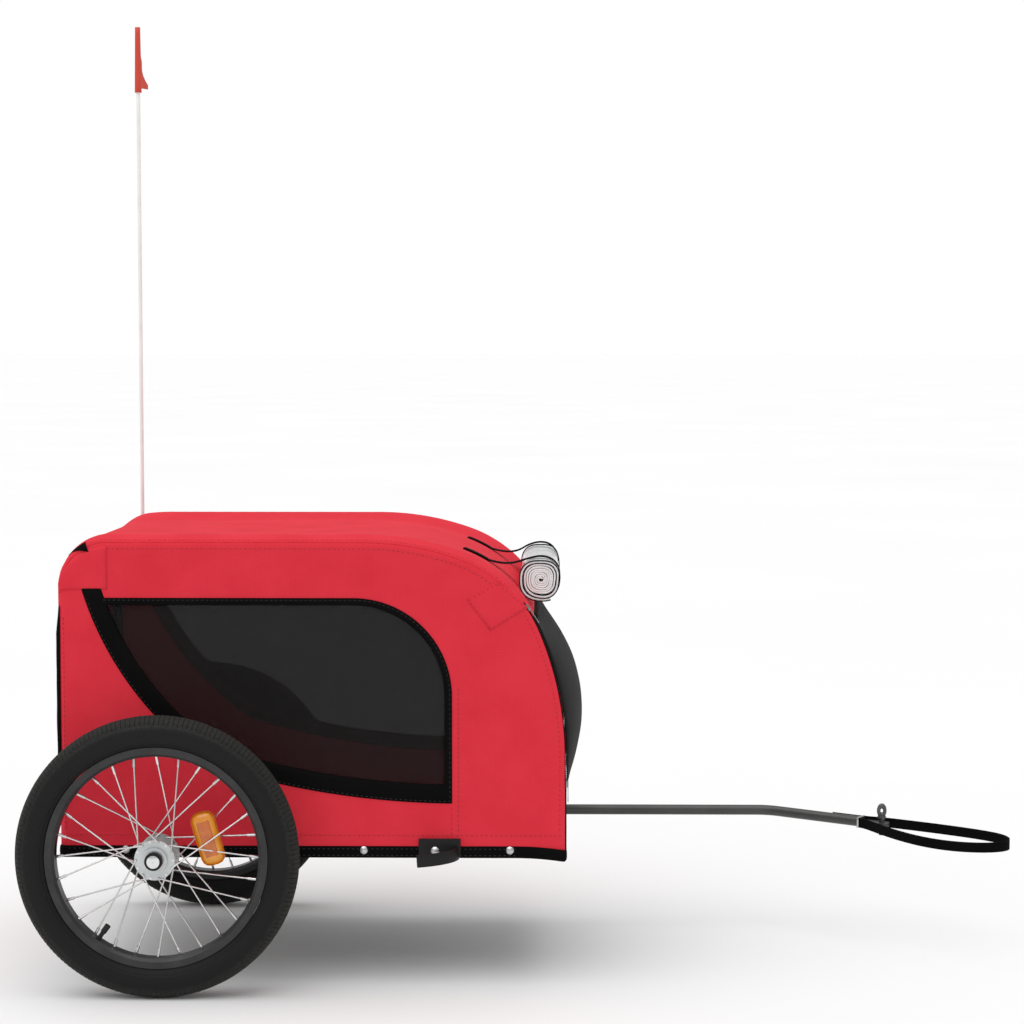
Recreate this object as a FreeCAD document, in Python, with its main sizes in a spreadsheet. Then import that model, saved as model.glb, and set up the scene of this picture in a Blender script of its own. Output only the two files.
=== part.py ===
import FreeCAD, Part
import math
import os
import Sketcher
from FreeCAD import Placement, Rotation, Vector

# Two-wheeled dog trailer for a bicycle: a welded tube base, two bent side hoops, a fabric
# cabin with mesh windows and doors, quick-release spoked wheels, a swinging tow bar and a flag.
# Millimetres, +X forward to the hitch, +Y left, +Z up, ground at Z = 0.
# Distances along X are measured from the wheel axle, and axle_x sets the axle in the frame.

DRIVING = {
    # Fits shared by the whole part
    "running_clearance": 0.05,
    "seat_clearance": 0.3,
    "cut_overrun": 1.0,
    # Wheels and tyres
    "track_half": 287.5,
    "tyre_radius": 200.0,
    "tyre_section": 46.0,
    "tyre_wall": 3.0,
    "tyre_bead_width": 3.3,
    "inner_tube_wall": 1.2,
    "inner_tube_gap": 0.6,
    "rim_width": 27.0,
    "rim_wall": 2.0,
    "rim_lip_height": 6.0,
    "rim_well_depth": 2.0,
    "rim_bed_thickness": 5.4,
    "rim_side_bevel": 4.0,
    "hub_half_length": 29.0,
    "hub_boss_radius": 18.0,
    "hub_barrel_radius": 15.0,
    "hub_bore_radius": 9.0,
    "flange_radius": 28.5,
    "flange_offset": 22.0,
    "flange_thickness": 3.0,
    "spokes_per_flange": 14,
    "spoke_radius": 1.1,
    "spoke_edge": 2.5,
    "spoke_elbow_gap": 1.2,
    "spoke_hole_gap": 0.2,
    "spoke_head_radius": 2.0,
    "spoke_head_thickness": 1.0,
    "spoke_end_inset": 3.0,
    "nipple_seat_gap": 0.8,
    "nipple_end_wall": 1.0,
    "nipple_radius": 2.0,
    "nipple_length": 12.0,
    "bearing_radius": 14.0,
    "bearing_width": 8.0,
    "bearing_ring_wall": 2.0,
    "bearing_shield_depth": 0.6,
    "valve_angle": -125.6,
    "valve_stem_radius": 3.2,
    "valve_cap_radius": 4.2,
    "valve_cap_length": 12.0,
    "valve_reach": 23.0,
    "reflector_length": 78.0,
    "reflector_width": 35.0,
    "reflector_thickness": 7.0,
    "reflector_corner": 11.0,
    "reflector_x": 72.0,
    "reflector_rise": 27.0,
    "reflector_tilt": -16.0,
    "reflector_post_radius": 2.4,
    "reflector_clip_wall": 1.2,
    "reflector_clip_length": 10.0,
    # Push-button axles
    "axle_radius": 6.0,
    "axle_shoulder_radius": 9.0,
    "axle_seat_length": 79.0,
    "axle_tip_bevel": 1.5,
    "cap_radius": 12.5,
    "cap_floor": 2.6,
    "cap_depth": 6.6,
    "button_radius": 9.0,
    "button_side_gap": 0.3,
    "button_thickness": 2.0,
    "button_crown": 0.8,
    "button_travel": 3.0,
    "stem_radius": 3.0,
    "stem_length": 15.6,
    "stem_bore_depth": 28.0,
    "spring_wall": 0.7,
    # Welded base frame
    "rail_radius": 9.5,
    "rail_wall": 1.5,
    "rail_drop": 5.0,
    "cross_tube_radius": 8.5,
    "axle_tube_radius": 11.0,
    "axle_tube_wall": 2.0,
    "axle_tube_half_length": 254.0,
    "rear_tube_x": -112.0,
    "middle_tube_x": 250.0,
    "front_tube_x": 530.0,
    "spigot_radius": 6.5,
    "spigot_height": 50.0,
    "spigot_end_margin": 0.5,
    "end_cap_plug": 16.0,
    "end_cap_head": 2.0,
    # Side hoops and cross bars
    "hoop_radius": 8.0,
    "hoop_wall": 1.4,
    "roof_rear_bar_x": -70.0,
    "roof_front_bar_x": 240.0,
    "nose_bar_height": 262.0,
    "connector_wall": 1.7,
    "socket_step": 0.4,
    "connector_length": 24.0,
    "connector_reach": 32.0,
    # Floor
    "floor_over_axle": 2.0,
    "floor_side_gap": 2.0,
    # Cabin side outline
    "cabin_half_width": 215.0,
    "cabin_rear_x": -150.0,
    "roof_height": 641.0,
    "roof_rear_radius": 45.0,
    "roof_flat_end_x": 284.0,
    "roof_front_radius": 414.0,
    "roof_front_turn": 19.5,
    "nose_radius": 192.5,
    "nose_turn": 66.7,
    "front_radius": 465.0,
    "fabric_thickness": 2.0,
    "panel_lift": 0.5,
    "axle_hole_gap": 1.0,
    # Side windows
    "window_rear_x": -104.0,
    "window_top_drop": 84.0,
    "window_front_x": 411.0,
    "window_bottom": 267.0,
    "window_corner_radius": 140.0,
    "window_sill_radius": 860.0,
    "window_rake_radius": 425.0,
    "window_knee_x": 94.0,
    "window_knee_height": 332.0,
    "window_edge_band": 11.0,
    "window_sill_band": 23.0,
    "window_mesh_thickness": 0.6,
    "binding_thickness": 1.5,
    # Sewn patches at the cabin corners
    "patch_thickness": 1.0,
    "patch_edge": 4.0,
    "rear_patch_length": 65.0,
    "rear_patch_drop": 54.0,
    "nose_patch_rear_ahead": 75.0,
    "nose_patch_rear_rise": 118.0,
    "nose_patch_top_ahead": 114.0,
    "nose_patch_top_rise": 143.0,
    "nose_patch_front_ahead": 154.0,
    "nose_patch_front_rise": 104.0,
    "nose_patch_low_ahead": 108.0,
    "nose_patch_low_rise": 75.0,
    # Front header, door, zips and lower panel
    "roof_edge_turn": 45.0,
    "door_fold_turn": 64.0,
    "door_thickness": 3.0,
    "door_bulge_radius": 266.0,
    "door_bottom": 285.0,
    "door_foot_proud": 4.0,
    "door_seam_gap": 2.0,
    "zip_width": 10.0,
    "zip_slider_length": 12.0,
    "zip_slider_width": 8.0,
    "zip_slider_thickness": 4.0,
    "zip_pull_length": 24.0,
    "zip_pull_width": 6.0,
    "zip_pull_thickness": 1.6,
    "zip_pull_lift": 1.5,
    "upper_slider_turn": 55.0,
    # Rear panel, door and zip
    "rear_door_half_width": 172.0,
    "rear_door_bottom": 318.0,
    "rear_door_top": 545.0,
    "rear_door_corner": 36.0,
    "rear_door_lap": 10.0,
    "rear_zip_width": 9.0,
    "rear_zip_thickness": 1.5,
    # Hem round the base
    "hem_thickness": 2.0,
    "hem_below_rail": 1.0,
    "hem_above_rail": 2.5,
    "screw_radius": 2.5,
    "screw_hole_gap": 0.1,
    "screw_head_radius": 6.0,
    "screw_head_height": 3.0,
    "screw_length": 11.0,
    "rear_screw_x": -56.0,
    "middle_screw_x": 285.0,
    "front_screw_x": 494.0,
    # Side guards
    "guard_rear_x": 362.0,
    "guard_front_x": 419.0,
    "guard_wall": 3.0,
    "guard_margin": 1.5,
    "guard_plate_height": 27.0,
    "guard_screw_x": 387.0,
    "guard_reach": 42.0,
    "guard_lip_radius": 62.0,
    "guard_lip_height": 14.0,
    # Rolled rain cover and its straps
    "roll_turn": 50.7,
    "roll_standoff": 38.3,
    "roll_radius": 28.0,
    "roll_half_length": 145.0,
    "roll_sheet": 2.4,
    "roll_pitch": 3.6,
    "roll_turns": 5,
    "strap_y": 100.0,
    "strap_width": 20.0,
    "strap_thickness": 1.5,
    "strap_anchor_turn": 24.0,
    "strap_anchor_length": 40.0,
    # Tow bar and hitch
    "bar_radius": 8.0,
    "bar_wall": 1.5,
    "bar_pivot_x": 470.0,
    "bar_tail": 14.0,
    "bar_bend_x": 900.0,
    "bar_bend_radius": 60.0,
    "bar_bend_angle": 34.6,
    "bar_end_run": 169.0,
    "bracket_plate": 2.7,
    "bracket_reach": 16.0,
    "bracket_web_gap": 3.0,
    "pivot_radius": 4.0,
    "pivot_head_radius": 6.5,
    "pivot_head_height": 5.0,
    "saddle_x": 536.0,
    "saddle_length": 30.0,
    "tongue_thickness": 6.0,
    "tongue_plug_length": 18.0,
    "tongue_neck": 7.0,
    "tongue_eye_radius": 12.0,
    "hitch_reach": 33.0,
    "hitch_shank_radius": 4.5,
    "hitch_pin_radius": 4.0,
    "hitch_pin_below": 14.0,
    "hitch_collar_radius": 6.5,
    "hitch_collar_height": 3.5,
    "hitch_ring_radius": 11.0,
    "hitch_ring_wire": 2.0,
    "hitch_ring_turn": 65.0,
    "webbing_width": 15.0,
    "webbing_thickness": 2.0,
    "webbing_overlap": 28.0,
    "webbing_reach": 195.0,
    "webbing_loop_radius": 45.0,
    "webbing_wrap": 101.0,
    "rivet_radius": 2.5,
    "rivet_head_radius": 4.5,
    "rivet_head_height": 1.5,
    # Safety flag
    "pole_x": -100.0,
    "pole_radius": 3.0,
    "pole_top": 1415.0,
    "pole_standoff": 7.0,
    "holder_width": 24.0,
    "holder_depth": 14.0,
    "holder_lift": 2.5,
    "holder_floor": 5.0,
    "holder_height": 60.0,
    "holder_screw_offset": 7.5,
    "guide_gap": 5.0,
    "guide_size": 14.0,
    "flag_hoist": 98.0,
    "flag_top_gap": 3.0,
    "flag_fly": 92.0,
    "flag_wave": 9.0,
    "flag_droop": 22.0,
    "flag_cloth": 1.2,
    "flag_sleeve_wall": 1.2,
    "flag_tip": 4.0,
}

doc = FreeCAD.newDocument("dog_bike_trailer")
sheet = doc.addObject("Spreadsheet::Sheet", "Sizes")


class Size:
    """A number together with the sheet formula that gives it."""

    def __init__(self, value, formula):
        self.value = value
        self.formula = formula

    def __add__(self, other):
        other = as_size(other)
        return Size(self.value + other.value, f"({self.formula} + {other.formula})")

    def __sub__(self, other):
        other = as_size(other)
        return Size(self.value - other.value, f"({self.formula} - {other.formula})")

    def __mul__(self, other):
        other = as_size(other)
        return Size(self.value * other.value, f"({self.formula} * {other.formula})")

    def __truediv__(self, other):
        other = as_size(other)
        return Size(self.value / other.value, f"({self.formula} / {other.formula})")

    def __rsub__(self, other):
        return as_size(other) - self

    def __neg__(self):
        return Size(-self.value, f"(0 - {self.formula})")

    __radd__ = __add__
    __rmul__ = __mul__


def as_size(number):
    return number if isinstance(number, Size) else Size(float(number), f"({number})")


def sine(angle):
    return Size(math.sin(math.radians(angle.value)), f"sin({angle.formula})")


def cosine(angle):
    return Size(math.cos(math.radians(angle.value)), f"cos({angle.formula})")


def root(area):
    return Size(math.sqrt(area.value), f"sqrt({area.formula})")


def larger(low, size):
    low = as_size(low)
    return Size(max(low.value, size.value), f"max({low.formula}; {size.formula})")


class Sizes:
    """The sheet's named values: driving ones are plain numbers, derived ones are formulas."""

    def __init__(self):
        self.row = 0

    def write(self, name, content, value):
        self.row += 1
        sheet.set(f"A{self.row}", name)
        sheet.set(f"B{self.row}", content)
        sheet.setAlias(f"B{self.row}", name)
        setattr(self, name, Size(value, f"Sizes.{name}"))

    def drive(self, name, number):
        self.write(name, str(number), float(number))

    def derive(self, name, result):
        self.write(name, "=" + result.formula.replace("Sizes.", ""), result.value)


s = Sizes()
for driving_name, driving_number in DRIVING.items():
    s.drive(driving_name, driving_number)

# Wheel: the tyre section rides on the rim lips, and the rim follows from the bead.
s.derive("tyre_centre", s.tyre_radius - s.tyre_section / 2)
s.derive("bead_half", s.rim_width / 2 - s.rim_wall - s.seat_clearance)
s.derive("tyre_half_section", s.tyre_section / 2)
bead_drop = root(s.tyre_half_section * s.tyre_half_section - s.bead_half * s.bead_half)
s.derive("bead_radius", s.tyre_centre - bead_drop)
s.derive("rim_edge", s.bead_radius - s.seat_clearance)
s.derive("rim_shoulder", s.rim_edge - s.rim_lip_height)
s.derive("rim_floor", s.rim_shoulder - s.rim_well_depth)
s.derive("rim_bed", s.rim_floor - s.rim_bed_thickness)
s.derive("bead_toe", s.rim_shoulder + s.seat_clearance)
s.derive("spoke_circle", s.flange_radius - s.spoke_edge)
# Axle: seated in the axle tube, with its end cap just outside the hub.
s.derive("cap_inner", s.hub_half_length + s.seat_clearance)
s.derive("axle_outer_end", s.cap_inner + s.cap_floor)
s.derive("axle_shoulder_end", s.track_half - s.axle_tube_half_length - s.seat_clearance)
s.derive("axle_inner_end", s.axle_shoulder_end + s.axle_seat_length)
s.derive("axle_bore", s.axle_radius + s.running_clearance)
s.derive("button_rest_gap", s.button_travel + 2 * s.seat_clearance)
# Cabin outline: three tangent arcs from the flat roof to the upright front.
s.derive("sin_roof", sine(s.roof_front_turn))
s.derive("cos_roof", cosine(s.roof_front_turn))
s.derive("sin_nose", sine(s.nose_turn))
s.derive("cos_nose", cosine(s.nose_turn))
s.derive("roof_arc_z", s.roof_height - s.roof_front_radius)
s.derive("nose_arc_x", s.roof_flat_end_x + (s.roof_front_radius - s.nose_radius) * s.sin_roof)
s.derive("nose_arc_z", s.roof_arc_z + (s.roof_front_radius - s.nose_radius) * s.cos_roof)
s.derive("front_arc_x", s.nose_arc_x + (s.nose_radius - s.front_radius) * s.sin_nose)
s.derive("front_arc_z", s.nose_arc_z + (s.nose_radius - s.front_radius) * s.cos_nose)
s.derive("cabin_front_x", s.front_arc_x + s.front_radius)
s.derive("window_top", s.roof_height - s.window_top_drop)
# Base frame: rails under the hoops, just below the axle, run a little past the hoop feet.
s.derive("rail_height", s.tyre_radius - s.rail_drop)
s.derive("rail_top", s.rail_height + s.rail_radius)
s.derive("rail_bottom", s.rail_height - s.rail_radius)
s.derive("connector_radius", s.hoop_radius + s.connector_wall)
s.derive("hoop_inset", s.connector_radius + s.fabric_thickness + s.seat_clearance)
s.derive("rail_y", s.cabin_half_width - s.hoop_inset)
s.derive("hoop_rear_x", s.cabin_rear_x + s.hoop_inset)
s.derive("hoop_front_x", s.cabin_front_x - s.hoop_inset)
s.derive("hoop_front_radius", s.front_radius - s.hoop_inset)
s.derive("nose_bar_lean", larger(0, s.nose_bar_height - s.front_arc_z) / s.hoop_front_radius)
s.derive("nose_bar_upright", root(1 - s.nose_bar_lean * s.nose_bar_lean))
s.derive("nose_bar_x", s.front_arc_x + s.hoop_front_radius * s.nose_bar_upright)
s.derive("hoop_foot", s.rail_top + s.seat_clearance)
s.derive("hoop_top", s.roof_height - s.hoop_inset)
s.derive("rail_rear_x", s.hoop_rear_x - s.spigot_radius - s.spigot_end_margin)
s.derive("rail_front_x", s.hoop_front_x + s.spigot_radius + s.spigot_end_margin)
s.derive("panel_inner_y", s.cabin_half_width - s.fabric_thickness)
s.derive("panel_bottom", s.rail_top + s.panel_lift)
s.derive("hem_y", s.cabin_half_width + s.hem_thickness)
s.derive("hem_bottom", s.rail_bottom - s.hem_below_rail)
s.derive("hem_top", s.rail_top + s.hem_above_rail)
s.derive("guard_bottom", s.hem_bottom + s.guard_margin)
# Floor: it lies on the rails and cross tubes, and is channelled over the axle tube.
s.derive("floor_channel", s.axle_tube_radius + s.seat_clearance)
s.derive("floor_top", s.tyre_radius + s.floor_channel + s.floor_over_axle)
# Rolled cover: it lies off the nose at a turn from the roof.
s.derive("roll_reach", s.nose_radius + s.roll_standoff)
s.derive("roll_x", s.nose_arc_x + s.roll_reach * sine(s.roll_turn))
s.derive("roll_height", s.nose_arc_z + s.roll_reach * cosine(s.roll_turn))
# Tow bar: straight run, one bend inward, then the tongue, hitch pin and webbing loop.
s.derive("bar_y", s.rail_y)
s.derive("bracket_roof", s.rail_bottom - s.bracket_plate)
s.derive("bar_height", s.bracket_roof - s.seat_clearance - s.bar_radius)
s.derive("bracket_floor", s.bar_height - s.bar_radius - s.seat_clearance)
s.derive("bracket_half_width", s.cabin_half_width - s.seat_clearance - s.bar_y)
s.derive("strap_seat", s.bar_radius + s.seat_clearance)
s.derive("rivet_half_length", s.strap_seat + s.webbing_thickness)
s.derive("sin_bar", sine(s.bar_bend_angle))
s.derive("cos_bar", cosine(s.bar_bend_angle))
s.derive("bend_tangent", s.bar_bend_radius * s.sin_bar / (1 + s.cos_bar))
s.derive("bar_end_x", s.bar_bend_x + s.bar_end_run * s.cos_bar)
s.derive("bar_end_y", s.bar_y - s.bar_end_run * s.sin_bar)
s.derive("hitch_x", s.bar_end_x + s.hitch_reach * s.cos_bar)
s.derive("hitch_y", s.bar_end_y - s.hitch_reach * s.sin_bar)
s.derive("webbing_outside", s.webbing_loop_radius + s.webbing_thickness)
s.derive("webbing_tip_x", s.bar_end_x + s.webbing_reach * s.cos_bar + s.webbing_outside)
# Flag pole and its holder, outside the left wall.
s.derive("pole_y", s.hem_y + s.pole_standoff)
s.derive("holder_bottom", s.hem_bottom + s.holder_lift)
s.derive("pole_bottom", s.holder_bottom + s.holder_floor)
s.derive("holder_screw_x", s.pole_x + s.holder_screw_offset)
s.derive("rear_patch_foot", s.roof_height - s.patch_edge - s.rear_patch_drop)
s.derive("guide_height", s.rear_patch_foot - s.guide_gap - s.guide_size)
# The frame's origin is on the ground, midway between the tyres' rear and the webbing's tip.
s.derive("axle_x", (s.tyre_radius - s.webbing_tip_x) / 2)
doc.recompute()

RIGHT = -1
LEFT = 1
SIDES = (("right", RIGHT), ("left", LEFT))
ROD_ALONG = {
    "X": Rotation(Vector(0, 1, 0), 90),
    "Y": Rotation(Vector(1, 0, 0), -90),
    "Z": Rotation(),
}
pieces = []


def bind(item, slot, size):
    item.setExpression(slot, as_size(size).formula)


def place(item, x, y, z, turn=None):
    """Sets an item at a place measured from the axle, the centre line and the ground."""
    if turn is not None:
        item.Placement = Placement(Vector(), turn)
    bind(item, "Placement.Base.x", s.axle_x + x)
    bind(item, "Placement.Base.y", y)
    bind(item, "Placement.Base.z", z)
    return item


def keep(item, label):
    """Names a finished piece and lists it for writing."""
    item.Label = label
    pieces.append(item)
    return item


def origin_plane(body, role):
    return next(item for item in body.Origin.OriginFeatures if item.Role == role)


def new_sketch(body, role):
    sketch = body.newObject("Sketcher::SketchObject", body.Name + "_outline")
    sketch.AttachmentSupport = [(origin_plane(body, role), "")]
    sketch.MapMode = "FlatFace"
    return sketch


def hold_point(sketch, constraints, formulas, edge, end, x, y):
    """Ties one point of a sketch to its two sizes."""
    for kind, axis, size in (("DistanceX", -2, x), ("DistanceY", -1, y)):
        size = as_size(size)
        if size.value == 0 and "Sizes" not in size.formula:
            constraints.append(Sketcher.Constraint("PointOnObject", edge, end, axis))
            continue
        formulas[len(constraints)] = size.formula
        constraints.append(Sketcher.Constraint(kind, -1, 1, edge, end, size.value))


def apply_constraints(sketch, constraints, formulas):
    before = len(sketch.Constraints)
    sketch.addConstraint(constraints)
    for index, formula in formulas.items():
        sketch.setExpression(f"Constraints[{before + index}]", formula)


def arc_edge(start, end, radius):
    """A short arc from start to end, turning left for a positive radius."""
    chord = end - start
    rise = math.sqrt(radius * radius - chord.Length * chord.Length / 4)
    side = Vector(-chord.y, chord.x, 0).normalize() * math.copysign(rise, radius)
    centre = (start + end) * 0.5 + side
    first, last = (start, end) if radius > 0 else (end, start)
    first_angle = math.atan2(first.y - centre.y, first.x - centre.x)
    last_angle = math.atan2(last.y - centre.y, last.x - centre.x)
    if last_angle < first_angle:
        last_angle += 2 * math.pi
    circle = Part.Circle(centre, Vector(0, 0, 1), abs(radius))
    return Part.ArcOfCircle(circle, first_angle, last_angle)


def draw(sketch, corners, closed=True):
    """Draws an outline: a corner is (x, y), or (x, y, radius) where an arc leaves it."""
    corners = [tuple(as_size(size) for size in corner) for corner in corners]
    spots = [Vector(corner[0].value, corner[1].value, 0) for corner in corners]
    edge_count = len(corners) if closed else len(corners) - 1
    first_edge = len(sketch.Geometry)
    constraints = []
    formulas = {}
    ends = []
    for index in range(edge_count):
        start = spots[index]
        end = spots[(index + 1) % len(spots)]
        if len(corners[index]) == 2:
            sketch.addGeometry(Part.LineSegment(start, end))
            ends.append((1, 2))
            continue
        radius = corners[index][2]
        sketch.addGeometry(arc_edge(start, end, radius.value))
        ends.append((1, 2) if radius.value > 0 else (2, 1))
        length = radius if radius.value > 0 else -radius
        formulas[len(constraints)] = length.formula
        constraints.append(Sketcher.Constraint("Radius", first_edge + index, length.value))
    for index in range(edge_count):
        edge = first_edge + index
        hold_point(sketch, constraints, formulas, edge, ends[index][0], *corners[index][:2])
        if closed or index < edge_count - 1:
            following = (index + 1) % edge_count
            joint = (edge, ends[index][1], first_edge + following, ends[following][0])
            constraints.append(Sketcher.Constraint("Coincident", *joint))
    if not closed:
        last_edge = first_edge + edge_count - 1
        hold_point(sketch, constraints, formulas, last_edge, ends[-1][1], *corners[-1][:2])
    apply_constraints(sketch, constraints, formulas)


def draw_circle(sketch, x, y, radius):
    x, y, radius = as_size(x), as_size(y), as_size(radius)
    edge = len(sketch.Geometry)
    sketch.addGeometry(Part.Circle(Vector(x.value, y.value, 0), Vector(0, 0, 1), radius.value))
    constraints = [Sketcher.Constraint("Radius", edge, radius.value)]
    formulas = {0: radius.formula}
    hold_point(sketch, constraints, formulas, edge, 3, x, y)
    apply_constraints(sketch, constraints, formulas)


def plate(name, role, outlines, depth, holes=()):
    """A flat piece: outlines drawn on a plane of its own and padded evenly to both sides."""
    body = doc.addObject("PartDesign::Body", name)
    sketch = new_sketch(body, role)
    for corners in outlines:
        draw(sketch, corners)
    for hole in holes:
        draw_circle(sketch, *hole)
    pad = body.newObject("PartDesign::Pad", name + "_pad")
    pad.Profile = sketch
    pad.SideType = "Symmetric"
    bind(pad, "Length", depth)
    return body


def turned(name, role, corners):
    """A turned piece: a half section spun about the upright axis of its plane."""
    body = doc.addObject("PartDesign::Body", name)
    sketch = new_sketch(body, role)
    draw(sketch, corners)
    spin = body.newObject("PartDesign::Revolution", name + "_spin")
    spin.Profile = sketch
    spin.ReferenceAxis = (sketch, ["V_Axis"])
    spin.Angle = 360
    return body


def bent_tube(name, path_role, path, section_role, outer, inner):
    """A tube of two circles swept along a path that starts at the body's own origin."""
    body = doc.addObject("PartDesign::Body", name)
    section = new_sketch(body, section_role)
    draw_circle(section, 0, 0, outer)
    draw_circle(section, 0, 0, inner)
    spine = new_sketch(body, path_role)
    draw(spine, path, closed=False)
    pipe = body.newObject("PartDesign::AdditivePipe", name + "_pipe")
    pipe.Profile = section
    pipe.Spine = spine
    return body


def rod(name, axis, radius, length, x, y, z):
    """A cylinder from a start point along +X, +Y or +Z."""
    item = doc.addObject("Part::Cylinder", name)
    bind(item, "Radius", radius)
    bind(item, "Height", length)
    return place(item, x, y, z, ROD_ALONG[axis])


def cross_rod(name, radius, half_length, x, z):
    """A cylinder across the trailer, centred on it."""
    return rod(name, "Y", radius, 2 * half_length, x, -half_length, z)


def block(name, x_low, x_high, y_low, y_high, z_low, z_high):
    item = doc.addObject("Part::Box", name)
    bind(item, "Length", as_size(x_high) - x_low)
    bind(item, "Width", as_size(y_high) - y_low)
    bind(item, "Height", as_size(z_high) - z_low)
    return place(item, x_low, y_low, z_low)


def fuse(name, items):
    item = doc.addObject("Part::MultiFuse", name)
    item.Shapes = items
    item.Refine = True
    return item


def cut(name, base, tools):
    item = doc.addObject("Part::Cut", name)
    item.Base = base
    item.Tool = tools[0] if len(tools) == 1 else fuse(name + "_tools", tools)
    return item


def keep_group(name, items):
    """Keeps alike pieces that are fixed to the same body as one node of separate solids."""
    item = doc.addObject("Part::Compound", name)
    item.Links = items
    return keep(item, name)


def keep_pair(name, make):
    """Keeps a right and a left piece of one make together."""
    return keep_group(name, [make(side_name, side) for side_name, side in SIDES])


def ordered(side, near, far):
    """Low and high end of a stretch that is mirrored to one side of the centre line."""
    return (near, far) if side == LEFT else (-far, -near)


def nose_point(turn, depth):
    """A point of the nose arc, at a turn from the roof, set in by a depth."""
    reach = s.nose_radius - depth
    return s.nose_arc_x + reach * sine(turn), s.nose_arc_z + reach * cosine(turn)


def nose_turn_along(length):
    """The turn that a length along the nose arc takes up, in degrees."""
    return length / s.nose_radius * as_size(math.degrees(1))


def roof_end_corner(depth):
    """Where the roof arc meets the nose arc, set in by a depth."""
    reach = s.roof_front_radius - depth
    return s.roof_flat_end_x + reach * s.sin_roof, s.roof_arc_z + reach * s.cos_roof


def rear_corner(depth):
    """The two ends of the rear roof corner's arc, set in by a depth, and its radius."""
    low = (s.cabin_rear_x + depth, s.roof_height - s.roof_rear_radius)
    high = (s.cabin_rear_x + s.roof_rear_radius, s.roof_height - depth)
    return low, high, s.roof_rear_radius - depth


def cabin_side(depth, bottom):
    """The whole side outline from the rear foot over the roof to the front foot."""
    low, high, radius = rear_corner(depth)
    return [
        (s.cabin_rear_x + depth, bottom),
        (*low, -radius),
        high,
        (s.roof_flat_end_x, s.roof_height - depth, -(s.roof_front_radius - depth)),
        (*roof_end_corner(depth), -(s.nose_radius - depth)),
        (*nose_point(s.nose_turn, depth), -(s.front_radius - depth)),
        (s.cabin_front_x - depth, s.front_arc_z),
        (s.cabin_front_x - depth, bottom),
    ]


def wheel_place(item, side, turn=None):
    """Sets a wheel piece on its axle; the wheel's own -Y points outward."""
    spun = turn or Rotation()
    facing = Rotation() if side == RIGHT else Rotation(Vector(0, 0, 1), 180)
    return place(item, 0, side * s.track_half, s.tyre_radius, facing.multiply(spun))


def make_tyre(side_name, side):
    outer = s.tyre_half_section
    inner = outer - s.tyre_wall
    toe_half = s.bead_half - s.tyre_bead_width
    inner_foot = s.tyre_centre - root(inner * inner - toe_half * toe_half)
    corners = [
        (s.bead_radius, -s.bead_half, outer),
        (s.tyre_radius, 0, outer),
        (s.bead_radius, s.bead_half),
        (s.bead_toe, s.bead_half),
        (s.bead_toe, toe_half),
        (inner_foot, toe_half, -inner),
        (s.tyre_centre + inner, 0, -inner),
        (inner_foot, -toe_half),
        (s.bead_toe, -toe_half),
        (s.bead_toe, -s.bead_half),
    ]
    tyre = turned(side_name + "_tyre", "XY_Plane", corners)
    return keep(wheel_place(tyre, side), side_name + "_tyre")


def valve_rod(name, side, radius, near, far):
    """A cylinder along the valve, between two distances from the wheel's centre."""
    outward_x = cosine(s.valve_angle) * -side
    outward_z = sine(s.valve_angle)
    item = doc.addObject("Part::Cylinder", name)
    bind(item, "Radius", radius)
    bind(item, "Height", far - near)
    turn = Rotation(Vector(0, 0, 1), Vector(outward_x.value, 0, outward_z.value))
    height = s.tyre_radius + near * outward_z
    return place(item, near * outward_x, side * s.track_half, height, turn)


def make_inner_tube(side_name, side):
    name = side_name + "_inner_tube"
    outside = s.tyre_half_section - s.tyre_wall - s.inner_tube_gap
    rings = []
    for suffix, radius in (("_skin", outside), ("_air", outside - s.inner_tube_wall)):
        ring = doc.addObject("Part::Torus", name + suffix)
        bind(ring, "Radius1", s.tyre_centre)
        bind(ring, "Radius2", radius)
        rings.append(place(ring, 0, side * s.track_half, s.tyre_radius, ROD_ALONG["Y"]))
    bore = s.valve_stem_radius + s.seat_clearance
    opening = valve_rod(name + "_valve_hole", side, bore, s.rim_floor, s.tyre_centre)
    return keep(cut(name, rings[0], [rings[1], opening]), name)


def make_rim(side_name, side):
    half = s.rim_width / 2
    inside = half - s.rim_wall
    well = inside - s.tyre_bead_width
    bevel = half - s.rim_side_bevel
    knee = s.rim_bed + s.rim_side_bevel
    corners = [
        (s.rim_bed, -bevel), (s.rim_bed, bevel), (knee, half), (s.rim_edge, half),
        (s.rim_edge, inside), (s.rim_shoulder, inside), (s.rim_floor, well),
        (s.rim_floor, -well), (s.rim_shoulder, -inside), (s.rim_edge, -inside),
        (s.rim_edge, -half), (knee, -half),
    ]
    ring = wheel_place(turned(side_name + "_rim_ring", "XY_Plane", corners), side)
    bore = s.valve_stem_radius + s.seat_clearance
    hole_start = s.rim_bed - s.cut_overrun
    hole = valve_rod(side_name + "_rim_valve_hole", side, bore, hole_start, s.rim_edge)
    return keep(cut(side_name + "_rim", ring, [hole]), side_name + "_rim")


def make_valve(side_name, side):
    name = side_name + "_valve"
    inner_end = s.rim_bed - s.valve_reach
    tube_face = s.tyre_centre - s.tyre_half_section + s.tyre_wall + s.inner_tube_gap
    stem = valve_rod(name + "_stem", side, s.valve_stem_radius, inner_end, tube_face)
    cap = valve_rod(name + "_cap", side, s.valve_cap_radius, inner_end, inner_end + s.valve_cap_length)
    return keep(fuse(name, [stem, cap]), name)


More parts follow.
